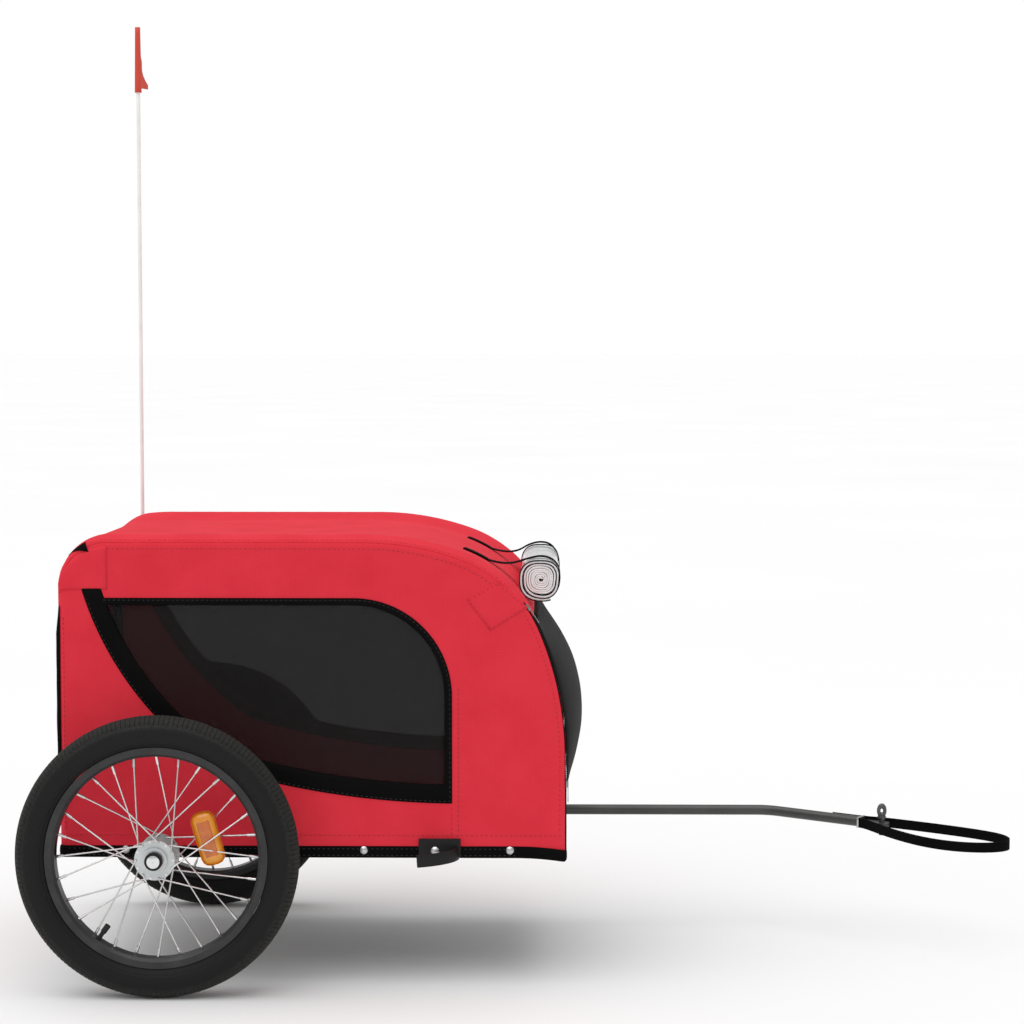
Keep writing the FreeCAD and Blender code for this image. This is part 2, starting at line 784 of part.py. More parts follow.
def make_hub(side_name, side):
    end = s.hub_half_length
    outer = s.flange_offset + s.flange_thickness / 2
    inner = s.flange_offset - s.flange_thickness / 2
    seat = s.bearing_radius + s.running_clearance
    floor = s.hub_half_length - s.bearing_width
    corners = [
        (s.hub_boss_radius, -end), (s.hub_boss_radius, -outer), (s.flange_radius, -outer),
        (s.flange_radius, -inner), (s.hub_barrel_radius, -inner), (s.hub_barrel_radius, inner),
        (s.flange_radius, inner), (s.flange_radius, outer), (s.hub_boss_radius, outer),
        (s.hub_boss_radius, end), (seat, end), (seat, floor), (s.hub_bore_radius, floor),
        (s.hub_bore_radius, -floor), (seat, -floor), (seat, -end),
    ]
    body = turned(side_name + "_hub", "XY_Plane", corners)
    hole_radius = s.spoke_radius + s.spoke_hole_gap
    half_pitch = as_size(180) / s.spokes_per_flange
    for reverse, turn in ((True, as_size(0)), (False, half_pitch)):
        sketch = new_sketch(body, "XZ_Plane")
        draw_circle(sketch, s.spoke_circle * cosine(turn), s.spoke_circle * sine(turn), hole_radius)
        hole = body.newObject("PartDesign::Pocket", body.Name + "_spoke_hole")
        hole.Profile = sketch
        hole.Reversed = reverse
        bind(hole, "Length", s.hub_half_length)
        ring = body.newObject("PartDesign::PolarPattern", body.Name + "_spoke_holes")
        ring.Originals = [hole]
        ring.Axis = (next(axis for axis in body.Origin.OriginFeatures if axis.Role == "Y_Axis"), [""])
        ring.Angle = 360
        bind(ring, "Occurrences", s.spokes_per_flange)
        body.Tip = ring
    return keep(wheel_place(body, side), side_name + "_hub")


def make_bearings(side_name, side):
    half = s.bearing_width / 2
    face = half - s.bearing_shield_depth
    inner = s.axle_bore
    inner_ring = inner + s.bearing_ring_wall
    outer_ring = s.bearing_radius - s.bearing_ring_wall
    corners = [
        (inner, -half), (inner_ring, -half), (inner_ring, -face), (outer_ring, -face),
        (outer_ring, -half), (s.bearing_radius, -half), (s.bearing_radius, half),
        (outer_ring, half), (outer_ring, face), (inner_ring, face), (inner_ring, half), (inner, half),
    ]
    pair = []
    for end in (RIGHT, LEFT):
        ring = turned(f"{side_name}_bearing_{'outer' if end == side else 'inner'}", "XY_Plane", corners)
        offset = side * s.track_half + end * (s.hub_half_length - half)
        pair.append(place(ring, 0, offset, s.tyre_radius))
    return keep_group(side_name + "_bearings", pair)


def make_axle(side_name, side):
    shoulder = s.hub_half_length + s.seat_clearance
    tip = s.axle_radius - s.axle_tip_bevel
    bore = s.stem_radius + s.running_clearance
    bore_end = s.stem_bore_depth - s.axle_outer_end
    corners = [
        (bore, -s.axle_outer_end), (s.axle_radius, -s.axle_outer_end), (s.axle_radius, shoulder),
        (s.axle_shoulder_radius, shoulder), (s.axle_shoulder_radius, s.axle_shoulder_end),
        (s.axle_radius, s.axle_shoulder_end), (s.axle_radius, s.axle_inner_end - s.axle_tip_bevel),
        (tip, s.axle_inner_end), (0, s.axle_inner_end), (0, bore_end), (bore, bore_end),
    ]
    return wheel_place(turned(side_name + "_axle", "XY_Plane", corners), side)


def make_axle_cap(side_name, side):
    name = side_name + "_axle_cap"
    rim = s.cap_inner + s.cap_depth
    pocket = s.button_radius + s.button_side_gap
    corners = [
        (s.axle_bore, -s.cap_inner), (s.cap_radius, -s.cap_inner), (s.cap_radius, -rim),
        (pocket, -rim), (pocket, -s.axle_outer_end), (s.axle_bore, -s.axle_outer_end),
    ]
    return wheel_place(turned(name, "XY_Plane", corners), side)


def make_release_button(side_name, side):
    name = side_name + "_release_button"
    back = s.axle_outer_end + s.button_rest_gap
    face = back + s.button_thickness
    crown = face + s.button_crown
    crown_radius = (s.button_radius * s.button_radius / s.button_crown + s.button_crown) / 2
    corners = [
        (0, -crown, crown_radius), (s.button_radius, -face), (s.button_radius, -back),
        (s.stem_radius, -back), (s.stem_radius, s.stem_length - back), (0, s.stem_length - back),
    ]
    return keep(wheel_place(turned(name, "XY_Plane", corners), side), name)


def make_button_spring(side_name, side):
    name = side_name + "_button_spring"
    back = s.axle_outer_end + s.button_rest_gap
    near = s.stem_length - back + s.seat_clearance
    far = s.stem_bore_depth - s.axle_outer_end - s.seat_clearance
    outer = s.stem_radius - s.running_clearance
    inner = outer - s.spring_wall
    corners = [(inner, near), (outer, near), (outer, far), (inner, far)]
    return wheel_place(turned(name, "XY_Plane", corners), side)


def make_reflector(side_name, side):
    name = side_name + "_wheel_reflector"
    long = s.reflector_length / 2
    wide = s.reflector_width / 2
    corner = s.reflector_corner
    corners = [
        (long - corner, -wide), (long, corner - wide), (long, wide - corner), (long - corner, wide),
        (corner - long, wide), (-long, wide - corner), (-long, corner - wide), (corner - long, -wide),
    ]
    body = plate(side_name + "_reflector_lens", "XZ_Plane", [corners], s.reflector_thickness)
    upright = Rotation(Vector(0, 1, 0), 90 + side * s.reflector_tilt.value)
    place(body, -side * s.reflector_x, side * s.track_half, s.tyre_radius + s.reflector_rise, upright)
    clips = doc.addObject("Part::Feature", name + "_clips")
    bores = doc.addObject("Part::Feature", name + "_clip_bores")
    clips.Shape, bores.Shape = reflector_clips()
    solid = fuse(name + "_solid", [body, wheel_place(clips, side)])
    return keep(cut(name, solid, [wheel_place(bores, side)]), name)


def reflector_clips():
    """Posts that reach from the reflector to the nearest spoke of each flange, and their bores."""
    middle = Vector(s.reflector_x.value, 0, s.reflector_rise.value)
    grip = s.spoke_radius.value + s.reflector_clip_wall.value
    bore = s.spoke_radius.value + s.running_clearance.value
    length = s.reflector_clip_length.value
    posts = []
    bores = []
    for flange in (RIGHT, LEFT):
        lines = [(start, end - start) for start, end, _ in spoke_lines() if start.y * flange > 0]
        start, way = min(lines, key=lambda line: middle.distanceToLine(*line))
        along = Vector(way).normalize()
        seat = start + along * (middle - start).dot(along)
        foot = Vector(seat.x, 0, seat.z)
        across = Vector(0, flange, 0)
        posts.append(Part.makeCylinder(s.reflector_post_radius.value, abs(seat.y), foot, across))
        posts.append(Part.makeCylinder(grip, length, seat - along * (length / 2), along))
        bores.append(Part.makeCylinder(bore, 2 * length, seat - along * length, along))
    return posts[0].multiFuse(posts[1:]), Part.makeCompound(bores)


def spoke_lines():
    """Each spoke as its elbow, rim end and flange, laced two-cross on both flanges."""
    count = int(s.spokes_per_flange.value)
    pitch = 360 / count
    for flange in (-1, 1):
        for index in range(count):
            hole = pitch * index + (pitch / 2 if flange > 0 else 0)
            leading = 1 if index % 2 else -1
            angle = math.radians(hole)
            target = math.radians(hole + leading * 2 * pitch)
            lift = s.flange_thickness.value / 2 + s.spoke_radius.value + s.spoke_elbow_gap.value
            elbow_y = flange * (s.flange_offset.value + lift * leading)
            circle = s.spoke_circle.value
            elbow = Vector(circle * math.cos(angle), elbow_y, circle * math.sin(angle))
            bed = s.rim_bed.value - s.nipple_seat_gap.value
            rim_end = Vector(bed * math.cos(target), 0, bed * math.sin(target))
            yield elbow, rim_end, -leading * flange


def spoke_solid(elbow, rim_end, hub_way):
    """A spoke with its bend through the flange hole and its flat head behind the flange."""
    along = (rim_end - elbow).normalize()
    radius = s.spoke_radius.value
    through = s.flange_thickness.value + radius + s.spoke_elbow_gap.value + s.running_clearance.value
    across = Vector(0, hub_way, 0)
    run = Part.makeCylinder(radius, (rim_end - elbow).Length - s.spoke_end_inset.value, elbow, along)
    bend = Part.makeSphere(radius, elbow)
    neck = Part.makeCylinder(radius, through, elbow, across)
    head = Part.makeCylinder(
        s.spoke_head_radius.value, s.spoke_head_thickness.value, elbow + across * through, across)
    return run.multiFuse([bend, neck, head])


def nipple_solid(elbow, rim_end):
    """A threaded sleeve on a spoke's rim end."""
    along = (elbow - rim_end).normalize()
    length = s.nipple_length.value
    bore = s.spoke_radius.value + s.running_clearance.value
    outside = Part.makeCylinder(s.nipple_radius.value, length, rim_end, along)
    inside = Part.makeCylinder(bore, length, rim_end + along * s.nipple_end_wall.value, along)
    return outside.cut(inside)


def make_spokes():
    """Both wheels' spokes, each with its nipple."""
    solids = []
    for elbow, rim_end, hub_way in spoke_lines():
        solids += [spoke_solid(elbow, rim_end, hub_way), nipple_solid(elbow, rim_end)]
    laced = Part.makeCompound(solids)
    for side_name, side in SIDES:
        item = doc.addObject("Part::Feature", side_name + "_spokes")
        item.Shape = laced.copy()
        keep(wheel_place(item, side), side_name + "_spokes")


def make_wheel(side_name, side):
    make_tyre(side_name, side)
    make_inner_tube(side_name, side)
    make_rim(side_name, side)
    make_valve(side_name, side)
    make_hub(side_name, side)
    make_bearings(side_name, side)
    make_release_button(side_name, side)
    make_reflector(side_name, side)


def screw_places():
    """Every screw into a rail: its name, side, place along the rail, seat and length."""
    for side_name, side in SIDES:
        yield f"{side_name}_rear", side, s.rear_screw_x, s.hem_y, s.screw_length
        yield f"{side_name}_middle", side, s.middle_screw_x, s.hem_y, s.screw_length
        yield f"{side_name}_front", side, s.front_screw_x, s.hem_y, s.screw_length
        guard_length = s.screw_length + s.guard_wall
        yield f"{side_name}_guard", side, s.guard_screw_x, s.hem_y + s.guard_wall, guard_length
    holder_length = s.screw_length + s.holder_depth
    yield "holder", LEFT, s.holder_screw_x, s.hem_y + s.holder_depth, holder_length


def side_rod(name, side, radius, near, far, x, z):
    """A cylinder across one side wall, between two distances from the centre line."""
    low, high = ordered(side, near, far)
    return rod(name, "Y", radius, high - low, x, low, z)


def screw_holes(name, side, near, far):
    """Cutters for every screw on one side, between two distances from the centre line."""
    radius = s.screw_radius + s.screw_hole_gap
    holes = []
    for screw_name, screw_side, x, _, _ in screw_places():
        if screw_side == side:
            holes.append(side_rod(f"{name}_{screw_name}_hole", side, radius, near, far, x, s.rail_height))
    return holes


def make_base_frame():
    """Rails, cross tubes, axle tube and hoop spigots, welded into one frame."""
    length = s.rail_front_x - s.rail_rear_x
    bore = s.rail_radius - s.rail_wall
    cross_bore = s.cross_tube_radius - s.rail_wall
    outside = []
    inside = []
    for side_name, side in SIDES:
        name = side_name + "_rail"
        start = (s.rail_rear_x, side * s.rail_y, s.rail_height)
        outside.append(rod(name, "X", s.rail_radius, length, *start))
        inside.append(rod(name + "_bore", "X", bore, length, *start))
    tube_spots = (("rear", s.rear_tube_x), ("middle", s.middle_tube_x), ("front", s.front_tube_x))
    for tube_name, x in tube_spots:
        outside.append(cross_rod(f"{tube_name}_tube", s.cross_tube_radius, s.rail_y, x, s.rail_height))
        inside.append(cross_rod(f"{tube_name}_tube_bore", cross_bore, s.rail_y, x, s.rail_height))
    spigot_length = s.spigot_height + s.rail_radius
    for side_name, side in SIDES:
        for end_name, x in (("rear", s.hoop_rear_x), ("front", s.hoop_front_x)):
            name = f"{side_name}_{end_name}_spigot"
            y = side * s.rail_y
            outside.append(rod(name, "Z", s.spigot_radius, spigot_length, x, y, s.rail_height))
    hollow = cut("hollow_frame", fuse("frame_tubes", outside), inside)
    axle_tube = cross_rod("axle_tube", s.axle_tube_radius, s.axle_tube_half_length, 0, s.tyre_radius)
    welded = fuse("welded_frame", [hollow, axle_tube])
    seat_start = s.track_half - s.axle_inner_end - s.cut_overrun
    tools = [
        cross_rod("axle_seat", s.axle_bore, s.axle_tube_half_length, 0, s.tyre_radius),
        cross_rod("axle_tube_bore", s.axle_tube_radius - s.axle_tube_wall, seat_start, 0, s.tyre_radius),
    ]
    outside_rail = s.rail_y + s.rail_radius + s.cut_overrun
    for side_name, side in SIDES:
        tools += screw_holes(side_name + "_rail", side, s.rail_y, outside_rail)
    return keep(cut("base_frame", welded, tools), "base_frame")


def make_rail_end_caps():
    caps = []
    plug_radius = s.rail_radius - s.rail_wall - s.running_clearance
    for side_name, side in SIDES:
        y = side * s.rail_y
        rear = s.rail_rear_x
        front = s.rail_front_x
        for end_name, plug_start, head_start in (
            ("rear", rear, rear - s.end_cap_head),
            ("front", front - s.end_cap_plug, front),
        ):
            name = f"{side_name}_{end_name}_cap"
            plug = rod(name + "_plug", "X", plug_radius, s.end_cap_plug, plug_start, y, s.rail_height)
            head = rod(name + "_head", "X", s.rail_radius, s.end_cap_head, head_start, y, s.rail_height)
            caps.append(fuse(name, [plug, head]))
    return keep_group("rail_end_caps", caps)


def make_side_hoop(side_name, side):
    """A bent tube from the rear foot over the roof to the front foot, on the rail's spigots."""
    path = []
    for corner in cabin_side(s.hoop_inset, s.hoop_foot):
        x, z, *bend = corner
        path.append((x - s.hoop_rear_x, z - s.hoop_foot, *bend))
    path[0] = (0, 0)
    path[1] = (0, *path[1][1:])
    inner = s.hoop_radius - s.hoop_wall
    tube = bent_tube(side_name + "_side_hoop", "XZ_Plane", path, "XY_Plane", s.hoop_radius, inner)
    return place(tube, s.hoop_rear_x, side * s.rail_y, s.hoop_foot)


def bar_spots():
    """Each cross bar: its name, its place and the way the hoop runs through its connectors."""
    level = (as_size(1), as_size(0))
    return (
        ("roof_rear", s.roof_rear_bar_x, s.hoop_top, level),
        ("roof_front", s.roof_front_bar_x, s.hoop_top, level),
        ("nose", s.nose_bar_x, s.nose_bar_height, (-s.nose_bar_lean, s.nose_bar_upright)),
    )


def make_cross_bars():
    half = s.rail_y - s.hoop_radius - s.seat_clearance
    bore = s.hoop_radius - s.hoop_wall
    bars = []
    for bar_name, x, z, _ in bar_spots():
        outside = cross_rod(bar_name + "_bar_outside", s.hoop_radius, half, x, z)
        inside = cross_rod(bar_name + "_bar_inside", bore, half, x, z)
        bars.append(cut(bar_name + "_bar", outside, [inside]))
    return keep_group("cross_bars", bars)


def make_bar_connectors():
    """Moulded tees that clamp on the hoops and hold the ends of the cross bars."""
    hoop_bore = s.hoop_radius + s.seat_clearance
    bar_bore = s.hoop_radius + s.running_clearance
    socket_radius = s.connector_radius - s.socket_step
    half = s.connector_length / 2
    inner_end = s.rail_y - s.connector_reach
    members = []
    for bar_name, x, z, (ahead, up) in bar_spots():
        along = Rotation(Vector(0, 0, 1), Vector(ahead.value, 0, up.value))
        for side_name, side in SIDES:
            name = f"{side_name}_{bar_name}_tee"
            start = (x - half * ahead, side * s.rail_y, z - half * up)
            ring = rod(name + "_ring", "Z", s.connector_radius, s.connector_length, *start)
            ring_bore = rod(name + "_ring_bore", "Z", hoop_bore, s.connector_length, *start)
            rings = [place(item, *start, along) for item in (ring, ring_bore)]
            socket = side_rod(name + "_socket", side, socket_radius, inner_end, s.rail_y, x, z)
            socket_bore = side_rod(name + "_socket_bore", side, bar_bore, inner_end, s.rail_y, x, z)
            members.append(cut(name, fuse(name + "_solid", [rings[0], socket]), [rings[1], socket_bore]))
    return keep_group("bar_connectors", members)


def make_floor_board():
    half = s.rail_y - s.hoop_radius - s.floor_side_gap
    board = block("floor_slab", s.rail_rear_x, s.rail_front_x, -half, half, s.rail_top, s.floor_top)
    channel = cross_rod("floor_channel", s.floor_channel, half, 0, s.tyre_radius)
    return keep(cut("floor_board", board, [channel]), "floor_board")


def window_outline(edge, sill):
    """The side window's outline, set in from its outer border by two band widths."""
    corner = s.window_corner_radius - edge
    front = s.window_front_x - edge
    top = s.window_top - edge
    knee_share = 0.5
    return [
        (s.window_rear_x + edge + sill * knee_share, top),
        (s.window_front_x - s.window_corner_radius, top, -corner),
        (front, s.window_top - s.window_corner_radius),
        (front, s.window_bottom + sill, -s.window_sill_radius),
        (s.window_knee_x + sill * knee_share, s.window_knee_height + sill, -s.window_rake_radius),
    ]


def make_side_wall(side_name, side):
    """A red wall with its window hole and a notch for the axle tube."""
    name = side_name + "_side_wall"
    outlines = [
        cabin_side(as_size(0), s.panel_bottom),
        window_outline(s.window_edge_band, s.window_sill_band),
    ]
    wall = plate(name + "_cloth", "XZ_Plane", outlines, s.fabric_thickness)
    place(wall, 0, side * (s.cabin_half_width - s.fabric_thickness / 2), 0)
    gap = s.axle_tube_radius + s.axle_hole_gap
    notch = side_rod(name + "_axle_notch", side, gap, s.panel_inner_y - s.cut_overrun,
                     s.cabin_half_width + s.cut_overrun, 0, s.tyre_radius)
    return keep(cut(name, wall, [notch]), name)


def make_window_mesh(side_name, side):
    """A mesh sheet behind the window hole, sewn in under the border."""
    border = window_outline(as_size(0), as_size(0))
    mesh = plate(side_name + "_window_mesh", "XZ_Plane", [border], s.window_mesh_thickness)
    return place(mesh, 0, side * (s.panel_inner_y - s.window_mesh_thickness / 2), 0)


def make_window_binding(side_name, side):
    """The black border round the window, on the outside of the wall."""
    outlines = [
        window_outline(as_size(0), as_size(0)),
        window_outline(s.window_edge_band, s.window_sill_band),
    ]
    binding = plate(side_name + "_window_binding", "XZ_Plane", outlines, s.binding_thickness)
    return place(binding, 0, side * (s.cabin_half_width + s.binding_thickness / 2), 0)


def make_roof():
    """One sheet from the top of the rear panel over the rear corner to the nose."""
    sheet_depth = s.fabric_thickness
    outer_low, outer_high, outer_radius = rear_corner(as_size(0))
    inner_low, inner_high, inner_radius = rear_corner(sheet_depth)
    corners = [
        (*outer_low, -outer_radius), outer_high,
        (s.roof_flat_end_x, s.roof_height, -s.roof_front_radius),
        (*roof_end_corner(as_size(0)), -s.nose_radius),
        nose_point(s.roof_edge_turn, as_size(0)),
        (*nose_point(s.roof_edge_turn, sheet_depth), s.nose_radius - sheet_depth),
        (*roof_end_corner(sheet_depth), s.roof_front_radius - sheet_depth),
        (s.roof_flat_end_x, s.roof_height - sheet_depth),
        (*inner_high, inner_radius), inner_low,
    ]
    roof = plate("roof", "XZ_Plane", [corners], 2 * s.panel_inner_y)
    return keep(place(roof, 0, 0, 0), "roof")


def nose_band(name, start, end, inner, outer, width):
    """A strip that follows the nose arc between two turns, from inner to outer beyond it."""
    corners = [
        (*nose_point(start, -outer), -(s.nose_radius + outer)),
        nose_point(end, -outer),
        (*nose_point(end, -inner), s.nose_radius + inner),
        nose_point(start, -inner),
    ]
    return plate(name, "XZ_Plane", [corners], width)


def make_front_header():
    """The fixed strip between the zips, from the roof's edge to the door's fold."""
    width = 2 * (s.panel_inner_y - s.zip_width)
    depth = s.fabric_thickness
    strip = nose_band("front_header", s.roof_edge_turn, s.door_fold_turn, -depth, as_size(0), width)
    return keep(place(strip, 0, 0, 0), "front_header")


def door_half_width():
    return s.panel_inner_y - s.zip_width - s.door_seam_gap


def make_front_door():
    """The bulging mesh flap that hinges on its fold under the rolled cover."""
    top_turn = s.door_fold_turn + nose_turn_along(s.seat_clearance)
    top = nose_point(top_turn, as_size(0))
    top_inner = nose_point(top_turn, s.door_thickness)
    foot_x = s.cabin_front_x + s.door_foot_proud
    corners = [
        (*top, -s.door_bulge_radius),
        (foot_x, s.door_bottom),
        (foot_x - s.door_thickness, s.door_bottom, s.door_bulge_radius - s.door_thickness),
        top_inner,
    ]
    flap = plate("front_door", "XZ_Plane", [corners], 2 * door_half_width())
    return keep(place(flap, 0, 0, 0), "front_door")


def make_front_zip(side_name, side):
    """A zip tape down one edge of the door."""
    name = side_name + "_front_zip"
    depth = s.fabric_thickness
    corners = [
        (*nose_point(s.roof_edge_turn, as_size(0)), -s.nose_radius),
        (*nose_point(s.nose_turn, as_size(0)), -s.front_radius),
        (s.cabin_front_x, s.front_arc_z),
        (s.cabin_front_x, s.door_bottom),
        (s.cabin_front_x - depth, s.door_bottom),
        (s.cabin_front_x - depth, s.front_arc_z, s.front_radius - depth),
        (*nose_point(s.nose_turn, depth), s.nose_radius - depth),
        nose_point(s.roof_edge_turn, depth),
    ]
    tape = plate(name, "XZ_Plane", [corners], s.zip_width)
    return place(tape, 0, side * (s.panel_inner_y - s.zip_width / 2), 0)


def zip_slider(name, x, way, y, z):
    """A slider on a tape's face with its pull hanging below; way is the side it faces along X."""
    face = x + way * s.seat_clearance
    outer = face + way * s.zip_slider_thickness
    pull = face + way * s.zip_pull_thickness
    half = s.zip_slider_width / 2
    pull_half = s.zip_pull_width / 2
    low, high = (face, outer) if way > 0 else (outer, face)
    pull_low, pull_high = (face, pull) if way > 0 else (pull, face)
    top = z + s.zip_slider_length
    grip = block(name + "_grip", low, high, y - half, y + half, z, top)
    tab = block(name + "_tab", pull_low, pull_high, y - pull_half, y + pull_half, z - s.zip_pull_length, z)
    return keep(fuse(name, [grip, tab]), name)


def make_front_zip_slider(side_name, side):
    y = side * (s.panel_inner_y - s.zip_width / 2)
    return zip_slider(side_name + "_front_zip_slider", s.cabin_front_x, 1, y, s.door_bottom)


def make_upper_zip_slider(side_name, side):
    """The slider parked on the nose at the zip's upper end, with its pull along the tape."""
    name = side_name + "_upper_zip_slider"
    start = s.upper_slider_turn
    middle = start + nose_turn_along(s.zip_slider_length)
    end = middle + nose_turn_along(s.zip_pull_length)
    foot = s.seat_clearance
    pull_foot = foot + s.zip_pull_lift
    grip = nose_band(name + "_grip", start, middle, foot, foot + s.zip_slider_thickness, s.zip_slider_width)
    pull_face = pull_foot + s.zip_pull_thickness
    tab = nose_band(name + "_tab", middle, end, pull_foot, pull_face, s.zip_pull_width)
    y = side * (s.panel_inner_y - s.zip_width / 2)
    return keep(fuse(name, [place(grip, 0, y, 0), place(tab, 0, y, 0)]), name)


def make_front_lower_panel():
    x = s.cabin_front_x
    panel = block("front_lower_panel", x - s.fabric_thickness, x, -s.panel_inner_y, s.panel_inner_y,
                  s.panel_bottom, s.door_bottom - s.seat_clearance)
    return keep(panel, "front_lower_panel")


def rounded_window(grow):
    """The rear door's outline, square at its hinge edge and rounded below, grown by a margin."""
    half = s.rear_door_half_width + grow
    corner = s.rear_door_corner + grow
    low = s.rear_door_bottom - grow
    top = s.rear_door_top
    return [
        (half, top), (half, low + corner, -corner), (half - corner, low),
        (corner - half, low, -corner), (-half, low + corner), (-half, top),
    ]


def make_rear_panel():
    """The red rear panel with the opening that the rear door covers."""
    half = s.panel_inner_y
    top = s.roof_height - s.roof_rear_radius
    outline = [(-half, s.panel_bottom), (half, s.panel_bottom), (half, top), (-half, top)]
    opening = rounded_window(-s.rear_door_lap)
    opening_top = s.rear_door_top - s.rear_door_lap
    opening[0] = (opening[0][0], opening_top)
    opening[-1] = (opening[-1][0], opening_top)
    panel = plate("rear_panel", "YZ_Plane", [outline, opening], s.fabric_thickness)
    return keep(place(panel, s.cabin_rear_x + s.fabric_thickness / 2, 0, 0), "rear_panel")


def make_rear_door():
    """The black mesh flap over the rear opening, hinged on its straight top edge."""
    door = plate("rear_door", "YZ_Plane", [rounded_window(as_size(0))], s.door_thickness)
    door_x = s.cabin_rear_x - s.seat_clearance - s.door_thickness / 2
    return keep(place(door, door_x, 0, 0), "rear_door")


def make_rear_zip():
    """The zip tape round the rear door's sides and foot."""
    gap = 2 * s.seat_clearance
    corner = s.rear_door_corner + gap
    inner = [point[:2] for point in rounded_window(gap)]
    back = [inner[5], (*inner[4], corner), inner[3], (*inner[2], corner), inner[1], inner[0]]
    outline = rounded_window(gap + s.rear_zip_width) + back
    tape = plate("rear_zip", "YZ_Plane", [outline], s.rear_zip_thickness)
    return place(tape, s.cabin_rear_x - s.rear_zip_thickness / 2, 0, 0)


def make_rear_zip_slider():
    y = -(s.rear_door_half_width + 2 * s.seat_clearance + s.rear_zip_width / 2)
    z = s.rear_door_bottom + s.rear_door_corner
    return zip_slider("rear_zip_slider", s.cabin_rear_x - s.rear_zip_thickness, -1, y, z)


def make_hem_bands():
    """Black bands round the foot of the cabin, screwed to the rails at the sides."""
    bands = []
    gap = s.axle_tube_radius + s.axle_hole_gap
    near = s.cabin_half_width - s.cut_overrun
    far = s.hem_y + s.cut_overrun
    for side_name, side in SIDES:
        low, high = ordered(side, s.cabin_half_width, s.hem_y)
        name = side_name + "_hem"
        band = block(name + "_band", s.cabin_rear_x, s.cabin_front_x, low, high, s.hem_bottom, s.hem_top)
        tools = [side_rod(name + "_axle_hole", side, gap, near, far, 0, s.tyre_radius)]
        tools += screw_holes(name, side, near, far)
        bands.append(cut(name, band, tools))
    for end_name, low, high in (
        ("rear", s.cabin_rear_x - s.hem_thickness, s.cabin_rear_x),
        ("front", s.cabin_front_x, s.cabin_front_x + s.hem_thickness),
    ):
        bands.append(block(end_name + "_hem", low, high, -s.hem_y, s.hem_y, s.hem_bottom, s.hem_top))
    return keep_group("hem_bands", bands)


def make_dome_screws():
    """Round-headed screws through the hem, the guards and the flag holder into the rails."""
    head = s.screw_head_height
    dome_radius = (s.screw_head_radius * s.screw_head_radius / head + head) / 2
    screws = []
    for name, side, x, seat, length in screw_places():
        corners = [
            (0, -length), (s.screw_radius, -length), (s.screw_radius, 0),
            (s.screw_head_radius, 0, dome_radius), (0, head),
        ]
        facing = Rotation() if side == LEFT else Rotation(Vector(0, 0, 1), 180)
        screw = turned(name + "_screw", "XY_Plane", corners)
        screws.append(place(screw, x, side * seat, s.rail_height, facing))
    return keep_group("dome_screws", screws)


def make_side_guard(side_name, side):
    """A moulded plate on the hem with a curved lip that stands out ahead of the wheel."""
    name = side_name + "_side_guard"
    low, high = ordered(side, s.hem_y, s.hem_y + s.guard_wall)
    flat = block(name + "_plate", s.guard_rear_x, s.guard_front_x, low, high,
                 s.guard_bottom, s.guard_bottom + s.guard_plate_height)
    root_y = s.hem_y + s.guard_wall / 2
    tip_y = s.hem_y + s.guard_reach
    wall = s.guard_wall
    bend = s.guard_lip_radius
    corners = [
        (s.guard_front_x, side * root_y, side * bend),
        (s.guard_rear_x, side * tip_y),
        (s.guard_rear_x, side * (tip_y - wall), -side * (bend - wall)),
        (s.guard_front_x - wall, side * root_y),
    ]
    lip = plate(name + "_lip", "XY_Plane", [corners], s.guard_lip_height)
    place(lip, 0, 0, s.guard_bottom + s.guard_lip_height / 2)
    hole = side_rod(name + "_hole", side, s.screw_radius + s.screw_hole_gap, s.hem_y - s.cut_overrun,
                    s.hem_y + s.guard_wall + s.cut_overrun, s.guard_screw_x, s.rail_height)
    return cut(name, fuse(name + "_solid", [flat, lip]), [hole])


def make_patches():
    """Thin reinforcing patches sewn on the walls at the rear roof corners and the nose."""
    edge = s.patch_edge
    low, high, radius = rear_corner(edge)
    rear = [
        (s.cabin_rear_x + edge, s.rear_patch_foot),
        (*low, -radius), high,
        (s.cabin_rear_x + edge + s.rear_patch_length, s.roof_height - edge),
        (s.cabin_rear_x + edge + s.rear_patch_length, s.rear_patch_foot),
    ]
    nose = [
        (s.nose_arc_x + ahead, s.nose_arc_z + rise)
        for ahead, rise in (
            (s.nose_patch_rear_ahead, s.nose_patch_rear_rise),
            (s.nose_patch_top_ahead, s.nose_patch_top_rise),
            (s.nose_patch_front_ahead, s.nose_patch_front_rise),
            (s.nose_patch_low_ahead, s.nose_patch_low_rise),
        )
    ]
    y = s.cabin_half_width + s.patch_thickness / 2
    patches = []
    for patch_name, corners in (("rear_patch", rear), ("nose_patch", nose)):
        for side_name, side in SIDES:
            patch = plate(f"{side_name}_{patch_name}", "XZ_Plane", [corners], s.patch_thickness)
            patches.append(place(patch, 0, side * y, 0))
    return keep_group("corner_patches", patches)


def spiral_arcs(outermost):
    """Half-turn arcs of a spiral that winds in, as edges from outside to inside."""
    edges = []
    radius = outermost
    centre = 0.0
    step = s.roll_pitch.value / 2
    heading = 1
    for _ in range(2 * int(s.roll_turns.value)):
        start = Vector(centre + heading * radius, 0, 0)
        middle = Vector(centre, 0, heading * radius)
        end = Vector(centre - heading * radius, 0, 0)
        edges.append(Part.Arc(start, middle, end).toShape())
        centre -= heading * step
        radius -= step
        heading = -heading
    return edges


